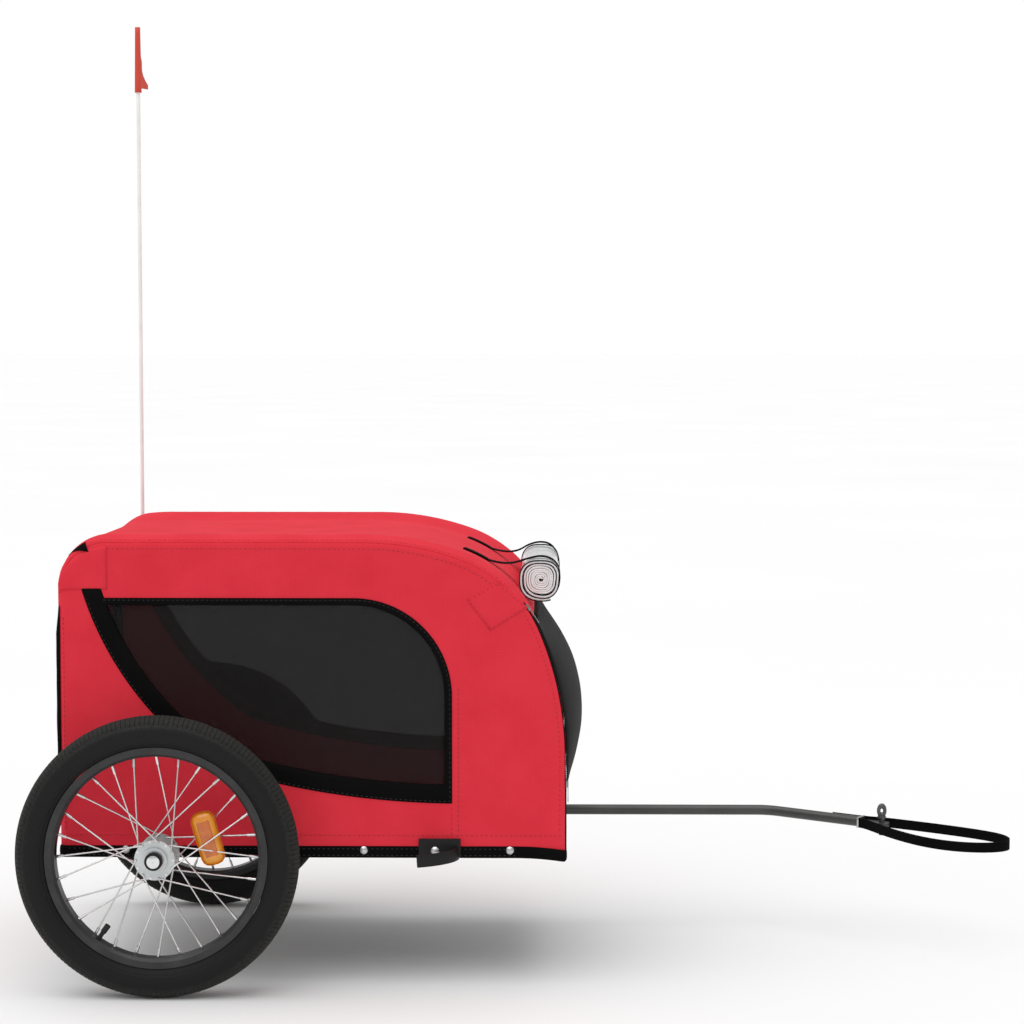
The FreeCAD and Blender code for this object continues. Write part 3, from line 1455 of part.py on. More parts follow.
def make_rain_cover_roll():
    """The clear rain cover, a spiral roll of sheet across the nose."""
    outside = spiral_arcs(s.roll_radius.value)
    inside = spiral_arcs(s.roll_radius.value - s.roll_sheet.value)
    ends = [
        Part.LineSegment(outside[0].Vertexes[0].Point, inside[0].Vertexes[0].Point).toShape(),
        Part.LineSegment(outside[-1].Vertexes[-1].Point, inside[-1].Vertexes[-1].Point).toShape(),
    ]
    section = Part.Face(Part.Wire(Part.__sortEdges__(outside + inside + ends)))
    length = 2 * s.roll_half_length.value
    roll = doc.addObject("Part::Feature", "rain_cover_roll")
    roll.Shape = section.extrude(Vector(0, length, 0))
    return keep(place(roll, s.roll_x, -s.roll_half_length, s.roll_height), "rain_cover_roll")


def make_roll_strap(side_name, side):
    """Webbing from a tab on the roof to a ring round the roll."""
    name = side_name + "_roll_strap"
    low = side * s.strap_y - s.strap_width / 2
    ring_radius = s.roll_radius + s.seat_clearance
    centre = (s.roll_x, low, s.roll_height)
    outside = rod(name + "_outside", "Y", ring_radius + s.strap_thickness, s.strap_width, *centre)
    inside = rod(name + "_inside", "Y", ring_radius, s.strap_width, *centre)
    anchor_x, anchor_z = nose_point(s.strap_anchor_turn, -s.seat_clearance)
    start = Vector(anchor_x.value, 0, anchor_z.value)
    tangent = Vector(s.roll_x.value, 0, (s.roll_height + ring_radius).value)
    run = tangent - start
    tail = doc.addObject("Part::Box", name + "_tail")
    bind(tail, "Width", s.strap_width)
    bind(tail, "Height", s.strap_thickness)
    tail.Length = run.Length
    climb = math.degrees(math.atan2(run.z, run.x))
    place(tail, anchor_x, low, anchor_z, Rotation(Vector(0, 1, 0), -climb))
    tab = doc.addObject("Part::Box", name + "_tab")
    bind(tab, "Length", s.strap_anchor_length)
    bind(tab, "Width", s.strap_width)
    bind(tab, "Height", s.strap_thickness)
    slope = s.strap_anchor_turn
    tab_x = anchor_x - s.strap_anchor_length * cosine(slope)
    tab_z = anchor_z + s.strap_anchor_length * sine(slope)
    place(tab, tab_x, low, tab_z, Rotation(Vector(0, 1, 0), slope.value))
    return cut(name, fuse(name + "_solid", [outside, tail, tab]), [inside])


def make_tow_bar():
    """The tow tube with its bend and the hole for its pivot bolt."""
    straight = s.bar_bend_x - s.bend_tangent - s.bar_pivot_x + s.bar_tail
    bend_end_x = s.bar_bend_x + s.bend_tangent * s.cos_bar - s.bar_pivot_x + s.bar_tail
    bend_end_y = -s.bend_tangent * s.sin_bar
    path = [
        (0, 0), (straight, 0, -s.bar_bend_radius), (bend_end_x, bend_end_y),
        (s.bar_end_x - s.bar_pivot_x + s.bar_tail, s.bar_end_y - s.bar_y),
    ]
    tube = bent_tube("tow_tube", "XY_Plane", path, "YZ_Plane", s.bar_radius, s.bar_radius - s.bar_wall)
    place(tube, s.bar_pivot_x - s.bar_tail, s.bar_y, s.bar_height)
    pivot_hole = rod("tow_pivot_hole", "Z", s.pivot_radius + s.running_clearance, 2 * s.bar_radius,
                     s.bar_pivot_x, s.bar_y, s.bar_height - s.bar_radius)
    rivet_hole = rivet_rod("rivet_hole", s.running_clearance)
    return keep(cut("tow_bar", tube, [pivot_hole, rivet_hole]), "tow_bar")


def rivet_rod(name, grow):
    """A cylinder across the tow bar's end run, through the middle of the webbing's overlap."""
    item = doc.addObject("Part::Cylinder", name)
    half = s.rivet_half_length
    bind(item, "Radius", s.rivet_radius + grow)
    bind(item, "Height", 2 * half)
    back = s.webbing_overlap / 2
    x = s.bar_end_x - back * s.cos_bar - half * s.sin_bar
    y = s.bar_end_y + back * s.sin_bar - half * s.cos_bar
    turn = Rotation(Vector(0, 0, 1), -s.bar_bend_angle.value).multiply(ROD_ALONG["Y"])
    return place(item, x, y, s.bar_height, turn)


def make_strap_rivet():
    """The rivet that holds both ends of the safety webbing to the tow bar."""
    shank = rivet_rod("rivet_shank", as_size(0))
    back = s.webbing_overlap / 2
    turn = Rotation(Vector(0, 0, 1), -s.bar_bend_angle.value).multiply(ROD_ALONG["Y"])
    heads = []
    half = s.rivet_half_length
    for end_name, offset in (("near", -half - s.rivet_head_height), ("far", half)):
        head = doc.addObject("Part::Cylinder", f"rivet_{end_name}_head")
        bind(head, "Radius", s.rivet_head_radius)
        bind(head, "Height", s.rivet_head_height)
        x = s.bar_end_x - back * s.cos_bar + offset * s.sin_bar
        y = s.bar_end_y + back * s.sin_bar + offset * s.cos_bar
        heads.append(place(head, x, y, s.bar_height, turn))
    return keep(fuse("strap_rivet", [shank, *heads]), "strap_rivet")


def make_safety_strap():
    """A standing webbing loop from both flanks of the tow bar's end."""
    inner = s.strap_seat
    outer = s.rivet_half_length
    back = -s.webbing_overlap
    reach = s.webbing_reach
    small = s.webbing_loop_radius
    large = s.webbing_outside
    swing = cosine(s.webbing_wrap)
    rise = sine(s.webbing_wrap)
    corners = [
        (back, inner), (0, inner), (reach + small * swing, small * rise, -small),
        (reach + small, 0, -small), (reach + small * swing, -small * rise), (0, -inner),
        (back, -inner), (back, -outer), (0, -outer), (reach + large * swing, -large * rise, large),
        (reach + large, 0, large), (reach + large * swing, large * rise), (0, outer), (back, outer),
    ]
    loop = plate("webbing_loop", "XY_Plane", [corners], s.webbing_width)
    turn = Rotation(Vector(0, 0, 1), -s.bar_bend_angle.value)
    place(loop, s.bar_end_x, s.bar_end_y, s.bar_height, turn)
    hole = rivet_rod("webbing_rivet_hole", s.running_clearance)
    return keep(cut("safety_strap", loop, [hole]), "safety_strap")


def make_hitch_tongue():
    """A flat eye for the hitch pin on a round plug in the tow bar's end."""
    neck = s.tongue_neck
    eye = s.tongue_eye_radius
    reach = s.hitch_reach
    outline = [(0, -neck), (reach, -eye, eye), (reach + eye, 0, eye), (reach, eye), (0, neck)]
    flat = plate("tongue_plate", "XY_Plane", [outline], s.tongue_thickness,
                 holes=[(reach, 0, s.hitch_shank_radius + s.running_clearance)])
    turn = Rotation(Vector(0, 0, 1), -s.bar_bend_angle.value)
    place(flat, s.bar_end_x, s.bar_end_y, s.bar_height, turn)
    plug = doc.addObject("Part::Cylinder", "tongue_plug")
    bind(plug, "Radius", s.bar_radius - s.bar_wall - s.running_clearance)
    bind(plug, "Height", s.tongue_plug_length)
    x = s.bar_end_x - s.tongue_plug_length * s.cos_bar
    y = s.bar_end_y + s.tongue_plug_length * s.sin_bar
    place(plug, x, y, s.bar_height, turn.multiply(ROD_ALONG["X"]))
    solid = fuse("tongue_solid", [flat, plug])
    hole = rivet_rod("tongue_rivet_hole", s.running_clearance)
    return keep(cut("hitch_tongue", solid, [hole]), "hitch_tongue")


def make_hitch_pin():
    """A pull pin: a shank in the tongue, a slimmer free end below, a collar and a wire ring."""
    top = s.bar_height + s.tongue_thickness / 2 + s.seat_clearance
    shoulder = s.bar_height - s.tongue_thickness / 2
    bottom = shoulder - s.hitch_pin_below
    spot = (s.hitch_x, s.hitch_y)
    shank = rod("hitch_shank", "Z", s.hitch_shank_radius, top - shoulder, *spot, shoulder)
    free_end = rod("hitch_free_end", "Z", s.hitch_pin_radius, s.hitch_pin_below, *spot, bottom)
    collar = rod("hitch_collar", "Z", s.hitch_collar_radius, s.hitch_collar_height, *spot, top)
    ring = doc.addObject("Part::Torus", "hitch_ring")
    bind(ring, "Radius1", s.hitch_ring_radius)
    bind(ring, "Radius2", s.hitch_ring_wire)
    height = top + s.hitch_collar_height + s.hitch_ring_radius
    facing = Rotation(Vector(0, 0, 1), s.hitch_ring_turn.value).multiply(ROD_ALONG["Y"])
    place(ring, *spot, height, facing)
    return keep(fuse("hitch_pin", [shank, free_end, collar, ring]), "hitch_pin")


def make_tow_bracket():
    """A folded bracket under the left rail, open to the front, that carries the pivot bolt."""
    top = s.rail_bottom
    bottom = s.bracket_floor - s.bracket_plate
    front = s.bar_pivot_x + s.bracket_reach
    web = s.bar_pivot_x - s.bar_tail - s.bracket_web_gap
    rear = web - s.bracket_plate
    corners = [
        (rear, bottom), (front, bottom), (front, s.bracket_floor), (web, s.bracket_floor),
        (web, s.bracket_roof), (front, s.bracket_roof), (front, top), (rear, top),
    ]
    folded = plate("bracket_folded", "XZ_Plane", [corners], 2 * s.bracket_half_width)
    place(folded, 0, s.bar_y, 0)
    hole = rod("bracket_pivot_hole", "Z", s.pivot_radius + s.running_clearance, top - bottom,
               s.bar_pivot_x, s.bar_y, bottom)
    return keep(cut("tow_bracket", folded, [hole]), "tow_bracket")


def make_tow_pivot_bolt():
    top = s.rail_bottom - s.seat_clearance
    seat = s.bracket_floor - s.bracket_plate
    shank = rod("pivot_shank", "Z", s.pivot_radius, top - seat, s.bar_pivot_x, s.bar_y, seat)
    reach = s.pivot_head_radius
    half_share = 0.5
    flat_share = math.sqrt(0.75)
    hexagon = [
        (reach, 0), (reach * half_share, reach * flat_share), (-reach * half_share, reach * flat_share),
        (-reach, 0), (-reach * half_share, -reach * flat_share), (reach * half_share, -reach * flat_share),
    ]
    head = plate("pivot_head", "XY_Plane", [hexagon], s.pivot_head_height)
    place(head, s.bar_pivot_x, s.bar_y, seat - s.pivot_head_height / 2)
    return keep(fuse("tow_pivot_bolt", [shank, head]), "tow_pivot_bolt")


def make_tow_saddle():
    """A snap saddle under the rail's front, open inward, that steadies the bar on the road."""
    top = s.rail_bottom
    bottom = s.bracket_floor - s.bracket_plate
    web = s.bar_y + s.bar_radius + s.seat_clearance
    outer = web + s.bracket_plate
    inner = s.bar_y - s.bar_radius
    corners = [
        (inner, bottom), (outer, bottom), (outer, top), (inner, top),
        (inner, s.bracket_roof), (web, s.bracket_roof), (web, s.bracket_floor), (inner, s.bracket_floor),
    ]
    saddle = plate("tow_saddle", "YZ_Plane", [corners], s.saddle_length)
    return keep(place(saddle, s.saddle_x, 0, 0), "tow_saddle")


def make_flag_cup():
    """A moulded cup for the pole's foot, screwed to the left rail through the hem."""
    half = s.holder_width / 2
    top = s.holder_bottom + s.holder_height
    cup = block("holder_block", s.pole_x - half, s.pole_x + half, s.hem_y, s.hem_y + s.holder_depth,
                s.holder_bottom, top)
    bore = rod("holder_bore", "Z", s.pole_radius + s.running_clearance, s.holder_height,
               s.pole_x, s.pole_y, s.pole_bottom)
    near = s.hem_y - s.cut_overrun
    far = s.hem_y + s.holder_depth + s.cut_overrun
    hole_radius = s.screw_radius + s.screw_hole_gap
    screw_hole = side_rod("holder_screw_hole", LEFT, hole_radius, near, far, s.holder_screw_x, s.rail_height)
    return cut("flag_cup", cup, [bore, screw_hole])


def make_flag_guide():
    """A small loop on the left wall that steadies the pole near the roof."""
    half = s.guide_size / 2
    start = s.cabin_half_width
    loop = block("guide_block", s.pole_x - half, s.pole_x + half, start, s.pole_y + half,
                 s.guide_height, s.guide_height + s.guide_size)
    bore = rod("guide_bore", "Z", s.pole_radius + s.running_clearance, s.guide_size,
               s.pole_x, s.pole_y, s.guide_height)
    return cut("flag_guide", loop, [bore])


def make_flag_pole():
    bottom = s.pole_bottom + s.seat_clearance
    pole = rod("flag_pole", "Z", s.pole_radius, s.pole_top - bottom, s.pole_x, s.pole_y, bottom)
    return keep(pole, "flag_pole")


def flag_section(share, height, drop):
    """A cross line of the pennant at a share of its fly: a thin upright strip of cloth."""
    wave_share = math.sin(share * 2 * math.pi)
    x = s.flag_wave.value * wave_share
    y = s.pole_radius.value + s.flag_sleeve_wall.value + s.flag_fly.value * share
    half = s.flag_cloth.value / 2
    low = -drop - height / 2
    high = -drop + height / 2
    ends = [(x - half, low), (x + half, low), (x + half, high), (x - half, high), (x - half, low)]
    return Part.makePolygon([Vector(across, y, up) for across, up in ends])


def make_flag():
    """A drooping pennant of bright cloth with one wave, sleeved on the pole's top."""
    hoist = s.flag_hoist.value
    tip = s.flag_tip.value
    sections = []
    station_shares = [0, 0.125, 0.25, 0.375, 0.5, 0.625, 0.75, 0.875, 1]
    for share in station_shares:
        height = hoist + (tip - hoist) * share
        drop = s.flag_droop.value * share * share
        sections.append(flag_section(share, height, drop))
    cloth = Part.makeLoft(sections, True, True)
    sleeve_radius = s.pole_radius.value + s.flag_sleeve_wall.value
    bore_radius = s.pole_radius.value + s.running_clearance.value
    foot = Vector(0, 0, -hoist / 2)
    outside = Part.makeCylinder(sleeve_radius, hoist, foot)
    bore = Part.makeCylinder(bore_radius, hoist, foot)
    overlap = Part.makeBox(s.flag_cloth.value, s.flag_sleeve_wall.value, hoist)
    overlap.translate(Vector(-s.flag_cloth.value / 2, s.pole_radius.value, -hoist / 2))
    flag = doc.addObject("Part::Feature", "flag_pennant")
    flag.Shape = cloth.multiFuse([outside, overlap]).cut(bore).removeSplitter()
    middle = s.pole_top - s.flag_top_gap - s.flag_hoist / 2
    return keep(place(flag, s.pole_x, s.pole_y, middle), "flag_pennant")


make_base_frame()
make_rail_end_caps()
make_cross_bars()
make_bar_connectors()
make_floor_board()
for name_of_side, chosen_side in SIDES:
    make_wheel(name_of_side, chosen_side)
    make_side_wall(name_of_side, chosen_side)
    make_front_zip_slider(name_of_side, chosen_side)
    make_upper_zip_slider(name_of_side, chosen_side)
make_spokes()
keep_pair("side_hoops", make_side_hoop)
keep_pair("axles", make_axle)
keep_pair("axle_caps", make_axle_cap)
keep_pair("button_springs", make_button_spring)
keep_pair("window_meshes", make_window_mesh)
keep_pair("window_bindings", make_window_binding)
keep_pair("side_guards", make_side_guard)
keep_pair("roll_straps", make_roll_strap)
make_roof()
make_front_header()
make_front_door()
make_front_lower_panel()
make_rear_panel()
make_rear_door()
keep_group("zip_tapes", [make_front_zip(*right_and_left) for right_and_left in SIDES] + [make_rear_zip()])
make_rear_zip_slider()
make_hem_bands()
make_dome_screws()
make_patches()
make_rain_cover_roll()
make_tow_bar()
make_safety_strap()
make_strap_rivet()
make_hitch_tongue()
make_hitch_pin()
make_tow_bracket()
make_tow_pivot_bolt()
make_tow_saddle()
keep_group("flag_holders", [make_flag_cup(), make_flag_guide()])
make_flag_pole()
make_flag()
doc.recompute()

for item in doc.Objects:
    if "Invalid" in item.State or "Error" in item.State:
        raise RuntimeError(f"{item.Label} did not build: {item.State}")
for item in pieces:
    if item.Shape.isNull() or not item.Shape.isValid() or not item.Shape.Solids:
        raise RuntimeError(f"{item.Label} has no valid solid")
os.makedirs("parts", exist_ok=True)
for item in pieces:
    item.Shape.exportStep(f"parts/{item.Label}.step")
    print(f"{item.Label}: {len(item.Shape.Solids)} solids, {item.Shape.Volume:.0f} mm3")
print(len(pieces), "pieces")
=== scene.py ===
"""Looks of the dog bike trailer: its cloth, webbing, tyres and finishes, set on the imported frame.

All sizes are in metres. Heights are measured from the ground and lengths from the wheel axle,
so a place along the trailer is AXLE_X plus its distance ahead of the axle.
"""
import math

import bpy
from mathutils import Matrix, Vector, kdtree, noise


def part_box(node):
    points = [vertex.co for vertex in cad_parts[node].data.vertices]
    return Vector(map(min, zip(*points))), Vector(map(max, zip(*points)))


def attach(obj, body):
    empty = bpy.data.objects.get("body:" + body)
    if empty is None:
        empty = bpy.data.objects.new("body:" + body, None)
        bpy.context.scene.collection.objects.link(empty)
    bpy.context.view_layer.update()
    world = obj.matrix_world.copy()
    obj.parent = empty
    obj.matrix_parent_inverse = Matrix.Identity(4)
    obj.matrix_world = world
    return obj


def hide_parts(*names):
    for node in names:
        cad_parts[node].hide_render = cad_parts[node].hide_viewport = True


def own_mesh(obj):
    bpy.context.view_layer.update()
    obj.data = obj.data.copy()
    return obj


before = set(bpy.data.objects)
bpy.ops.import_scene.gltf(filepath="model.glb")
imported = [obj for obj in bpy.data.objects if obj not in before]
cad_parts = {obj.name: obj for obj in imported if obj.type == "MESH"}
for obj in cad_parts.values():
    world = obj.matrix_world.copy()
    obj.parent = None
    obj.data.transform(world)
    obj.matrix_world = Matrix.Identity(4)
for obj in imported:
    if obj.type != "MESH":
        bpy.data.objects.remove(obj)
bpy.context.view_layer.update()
bpy.ops.object.select_all(action="DESELECT")

# Places that the frame gives
HUB_LOW, HUB_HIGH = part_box("right_hub")
AXLE_X = (HUB_LOW.x + HUB_HIGH.x) / 2
AXLE_Z = (HUB_LOW.z + HUB_HIGH.z) / 2
TRACK = -(HUB_LOW.y + HUB_HIGH.y) / 2
WALL_LOW, WALL_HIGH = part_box("right_side_wall")
HEM_LOW, HEM_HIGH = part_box("hem_bands")
TYRE_LOW, TYRE_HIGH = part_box("right_tyre")
POLE_LOW, POLE_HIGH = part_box("flag_pole")
PENNANT_LOW, PENNANT_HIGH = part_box("flag_pennant")
STRAP_LOW, STRAP_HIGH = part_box("safety_strap")
ROLL_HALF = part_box("rain_cover_roll")[1].y
HALF_WIDTH = -WALL_LOW.y
REAR_X = WALL_LOW.x - AXLE_X
FRONT_X = WALL_HIGH.x - AXLE_X
ROOF_Z = WALL_HIGH.z
SIDES = (("right", -1), ("left", 1))

# Cabin outline, seen from the side; a turn is in degrees from level
REAR_CORNER = 0.070
ROOF_FLAT_END = 0.284
ROOF_ARC, ROOF_TURN = 0.414, 19.5
NOSE_ARC, NOSE_TURN = 0.1925, 66.7
FRONT_ARC = 0.465
ROOF_EDGE_TURN, ROOF_TIP_TURN, DOOR_FOLD_TURN = 53.0, 61.0, 64.0
DOOR_FOOT_Z = 0.285
CLOTH_FOOT_Z = 0.203
SHOULDER, FRONT_SHOULDER = 0.010, 0.0025
SHOULDER_CHANGE_START, SHOULDER_CHANGE = 0.05, 0.06
CLOTH = 0.0009

# Side window
WINDOW_TOP = ROOF_Z - 0.084
WINDOW_FRONT_X = 0.411
WINDOW_CORNER = 0.140
SILL_CENTRE, SILL_ARC = Vector((0.420, 1.448)), 1.185
RAKE_CENTRE, RAKE_ARC = Vector((0.3325, 0.7045)), 0.468
WINDOW_EDGE, WINDOW_SILL = 0.010, 0.0265
WINDOW_EYE = Vector((0.190, 0.425))


# Finishes

SHADE_SHARES = (0.3, 0.7)
CLOTH_PATCH, MOULD_PATCH, FLOOR_PATCH = 0.07, 0.03, 2.0
WAVE_BANDS = 20 / (2 * math.pi)
THREAD_WOBBLE = 0.6
GRAIN_STRENGTH = 0.3


def colour(code):
    """An sRGB hex value as linear light."""
    parts = [int(code[i:i + 2], 16) / 255 for i in (1, 3, 5)]
    linear = [p / 12.92 if p <= 0.04045 else ((p + 0.055) / 1.055) ** 2.4 for p in parts]
    return (*linear, 1.0)


def add(tree, kind, inputs=None, into=None, **settings):
    """Adds a node with its settings; an input is a value or another node's output.

    Where into is given, the node's first output goes into that socket.
    """
    made = tree.nodes.new(kind)
    for name, value in settings.items():
        setattr(made, name, value)
    for name, value in (inputs or {}).items():
        if isinstance(value, bpy.types.NodeSocket):
            tree.links.new(value, made.inputs[name])
        else:
            made.inputs[name].default_value = value
    if into:
        tree.links.new(made.outputs[0], into)
    return made


def surface(name, roughness, **sockets):
    """A new material with its main shader; the sockets hold what is the same all over."""
    made = bpy.data.materials.new(name)
    made.use_nodes = True
    shader = made.node_tree.nodes["Principled BSDF"]
    shader.inputs["Roughness"].default_value = roughness
    for socket, value in sockets.items():
        shader.inputs[socket.replace("_", " ")].default_value = value
    return made, made.node_tree, shader


def shades(tree, shader, where, light, dark, size):
    """Lets the colour drift between two shades in patches of a size."""
    drift = add(tree, "ShaderNodeTexNoise", {"Vector": where, "Scale": 1 / size, "Detail": 3.0})
    ramp = add(tree, "ShaderNodeValToRGB", {"Fac": drift.outputs["Fac"]}, shader.inputs["Base Color"])
    for element, share, code in zip(ramp.color_ramp.elements, SHADE_SHARES, (dark, light)):
        element.position = share
        element.color = colour(code)


def threads(tree, pitch, wobble):
    """Crossing threads of a plain weave, laid out on the cloth's own map in metres."""
    where = add(tree, "ShaderNodeTexCoord").outputs["UV"]
    scale = 1 / (WAVE_BANDS * pitch)
    bands = []
    for way in ("X", "Y"):
        run = {"Vector": where, "Scale": scale, "Distortion": wobble, "Detail": 1.0, "Detail Scale": 0.4}
        bands.append(add(tree, "ShaderNodeTexWave", run, bands_direction=way).outputs["Fac"])
    crossing = add(tree, "ShaderNodeMath", {0: bands[0], 1: bands[1]}, operation="MULTIPLY")
    return where, crossing.outputs["Value"]


def canvas(name, light, dark, pitch, roughness, depth=0.0004, strength=0.35, **sockets):
    """Woven or knitted cloth: crossing threads and a slow drift of shade."""
    made, tree, shader = surface(name, roughness, **sockets)
    where, height = threads(tree, pitch, THREAD_WOBBLE)
    shades(tree, shader, where, light, dark, CLOTH_PATCH)
    raised = {"Height": height, "Distance": depth, "Strength": strength}
    add(tree, "ShaderNodeBump", raised, shader.inputs["Normal"])
    return made


# Red Oxford cloth: 0.6 mm threads are under a pixel, so they are drawn 2.2 mm apart. A faint glow
# stands for the light that comes through the thin cloth.
red_canvas = canvas("woven_polyester_canvas_red", "#D73341", "#CF2D3A", 0.0022, 0.8,
                    Specular_IOR_Level=0.12, Emission_Color=colour("#E03340"), Emission_Strength=0.08)
# Black Oxford cloth of the hem, bindings and front: the same weave, nearly no colour of its own.
black_canvas = canvas("woven_polyester_canvas_black", "#0E0D0D", "#090909", 0.0022, 0.85,
                      Specular_IOR_Level=0.06)
# Polypropylene webbing: coarse ribs across a flat strap, drawn 2 mm apart.
black_webbing = canvas("woven_polypropylene_webbing_black", "#0A0A0A", "#060606", 0.0020, 0.8, 0.0006, 0.6,
                       Specular_IOR_Level=0.06)
# Nylon pennant cloth: thin, bright and a little glossy, its threads drawn 1.8 mm apart.
flag_cloth = canvas("woven_nylon_flag_orange_red", "#D84A32", "#C83A28", 0.0018, 0.55)
# Door fabric: a dense, matt, dark grey mesh, drawn 2.4 mm apart.
door_mesh = canvas("knitted_polyester_mesh_charcoal", "#201E1E", "#191818", 0.0024, 0.7, 0.0005, 0.5,
                   Specular_IOR_Level=0.15)


def make_net_finish():
    """Knitted polyester net: black threads with holes that let an eighth of the light through.

    Each sheet has two faces, so a face lets through about a third. The 1.2 mm holes are drawn 2.4 mm apart.
    """
    pitch, wobble, depth, strength = 0.0024, 0.2, 0.0003, 0.3
    alpha_low, alpha_high = 0.57, 0.70
    made, tree, shader = surface("knitted_polyester_net_black", 0.75, Specular_IOR_Level=0.15)
    shader.inputs["Base Color"].default_value = colour("#1A1818")
    _, height = threads(tree, pitch, wobble)
    cover = {"Value": height, "To Min": alpha_high, "To Max": alpha_low}
    add(tree, "ShaderNodeMapRange", cover, shader.inputs["Alpha"])
    raised = {"Height": height, "Distance": depth, "Strength": strength}
    add(tree, "ShaderNodeBump", raised, shader.inputs["Normal"])
    return made


def make_vinyl_finish():
    """Clear PVC film: glossy, milky where it is rolled up, with soft crinkles."""
    patch, crinkle, depth, strength = 0.02, 0.02, 0.003, 0.5
    made, tree, shader = surface("calendered_pvc_film_clear", 0.14, IOR=1.53, Alpha=0.9)
    where = add(tree, "ShaderNodeTexCoord").outputs["Object"]
    shades(tree, shader, where, "#FCFDFD", "#F0F2F2", patch)
    folds = add(tree, "ShaderNodeTexNoise", {"Vector": where, "Scale": 1 / crinkle, "Detail": 4.0})
    raised = {"Height": folds.outputs["Fac"], "Distance": depth, "Strength": strength}
    add(tree, "ShaderNodeBump", raised, shader.inputs["Normal"])
    return made


def make_rubber_finish():
    """Vulcanised tyre rubber: matt black walls with moulded rings, and a paler, dusty, pitted tread."""
    pit, dust_scatter, ring = 0.0035, 0.012, 0.0045
    dust_start, dust_full = 0.190, 0.200
    rings_end, rings_full = 0.170, 0.165
    ring_share, depth, strength = 0.6, 0.0008, 0.45
    made, tree, shader = surface("vulcanised_rubber_black", 0.62, Specular_IOR_Level=0.25)

    where = add(tree, "ShaderNodeTexCoord").outputs["Object"]
    arm = add(tree, "ShaderNodeVectorMath", {0: where, 1: (AXLE_X, 0.0, AXLE_Z)}, operation="SUBTRACT")
    flat = {0: arm.outputs["Vector"], 1: (1.0, 0.0, 1.0)}
    flat = add(tree, "ShaderNodeVectorMath", flat, operation="MULTIPLY").outputs["Vector"]
    reach = add(tree, "ShaderNodeVectorMath", {0: flat}, operation="LENGTH").outputs["Value"]
    pits = add(tree, "ShaderNodeTexNoise", {"Vector": where, "Scale": 1 / pit, "Detail": 2.0}).outputs["Fac"]
    speck = add(tree, "ShaderNodeMath", {0: pits, 1: dust_scatter, 2: reach}, operation="MULTIPLY_ADD")
    dusty = {"Value": speck.outputs["Value"], "From Min": dust_start, "From Max": dust_full}
    worn = add(tree, "ShaderNodeMapRange", dusty).outputs["Result"]
    ramp = add(tree, "ShaderNodeValToRGB", {"Fac": worn}, shader.inputs["Base Color"])
    ramp.color_ramp.elements[0].color = colour("#0F0F0F")
    ramp.color_ramp.elements[1].color = colour("#2E2E2C")
    waves = add(tree, "ShaderNodeMath", {0: reach, 1: 2 * math.pi / ring}, operation="MULTIPLY")
    waves = add(tree, "ShaderNodeMath", {0: waves.outputs["Value"]}, operation="SINE").outputs["Value"]
    low = add(tree, "ShaderNodeMapRange", {"Value": reach, "From Min": rings_end, "From Max": rings_full})
    rings = add(tree, "ShaderNodeMath", {0: waves, 1: low.outputs["Result"]}, operation="MULTIPLY")
    height = {0: rings.outputs["Value"], 1: ring_share, 2: pits}
    height = add(tree, "ShaderNodeMath", height, operation="MULTIPLY_ADD").outputs["Value"]
    raised = {"Height": height, "Distance": depth, "Strength": strength}
    add(tree, "ShaderNodeBump", raised, shader.inputs["Normal"])
    return made


def make_prism_finish():
    """Prisms inside a reflector: a grid of small facets, deeper orange than the rim."""
    patch, facet, depth, strength = 0.012, 0.003, 0.001, 0.8
    made, tree, shader = surface("moulded_acrylic_prisms_orange", 0.25, Coat_Weight=0.5)
    where = add(tree, "ShaderNodeTexCoord").outputs["Object"]
    shades(tree, shader, where, "#D3752E", "#BE5F26", patch)
    facets = add(tree, "ShaderNodeTexVoronoi", {"Vector": where, "Scale": 1 / facet}, distance="CHEBYCHEV")
    raised = {"Height": facets.outputs["Distance"], "Distance": depth, "Strength": strength}
    add(tree, "ShaderNodeBump", raised, shader.inputs["Normal"])
    return made


window_net = make_net_finish()
clear_vinyl = make_vinyl_finish()
tyre_rubber = make_rubber_finish()
amber_prisms = make_prism_finish()


def moulded(name, light, dark, roughness, grain, depth, **sockets):
    """A moulded, coated or drawn surface with a fine grain of a real size and a slow drift of shade."""
    made, tree, shader = surface(name, roughness, **sockets)
    where = add(tree, "ShaderNodeTexCoord").outputs["Object"]
    shades(tree, shader, where, light, dark, MOULD_PATCH)
    fine = add(tree, "ShaderNodeTexNoise", {"Vector": where, "Scale": 1 / grain, "Detail": 2.0})
    raised = {"Height": fine.outputs["Fac"], "Distance": depth, "Strength": GRAIN_STRENGTH}
    add(tree, "ShaderNodeBump", raised, shader.inputs["Normal"])
    return made


# Inner tube rubber: soft and matt.
tube_rubber = moulded("vulcanised_butyl_rubber_black", "#1F1F1F", "#171717", 0.75, 0.003, 0.0003)
# Polypropylene mouldings: black with the fine texture of an etched mould.
black_moulding = moulded("moulded_polypropylene_black", "#161616", "#0F0F0F", 0.52, 0.0016, 0.0003,
                         Specular_IOR_Level=0.28)
# Powder coat on the steel tubes: satin black with a slight orange peel.
black_tube = moulded("powder_coated_steel_black", "#232323", "#1B1B1B", 0.42, 0.003, 0.0002)
# Dark grey enamel on the tow bar: satin, a shade lighter where the light runs along it.
grey_tube = moulded("enamelled_steel_dark_grey", "#4B4B49", "#424241", 0.38, 0.003, 0.0002, Metallic=0.25)
# Anodised rims: satin black that still catches a soft line of light.
black_rim = moulded("anodised_aluminium_black", "#3C3C3D", "#303031", 0.33, 0.002, 0.0001, Metallic=0.55)
# Zinc plate on screws and hitch parts: pale, softly spotted metal.
zinc_steel = moulded("zinc_plated_steel", "#D6D7D6", "#B4B6B5", 0.34, 0.004, 0.0001, Metallic=1.0)
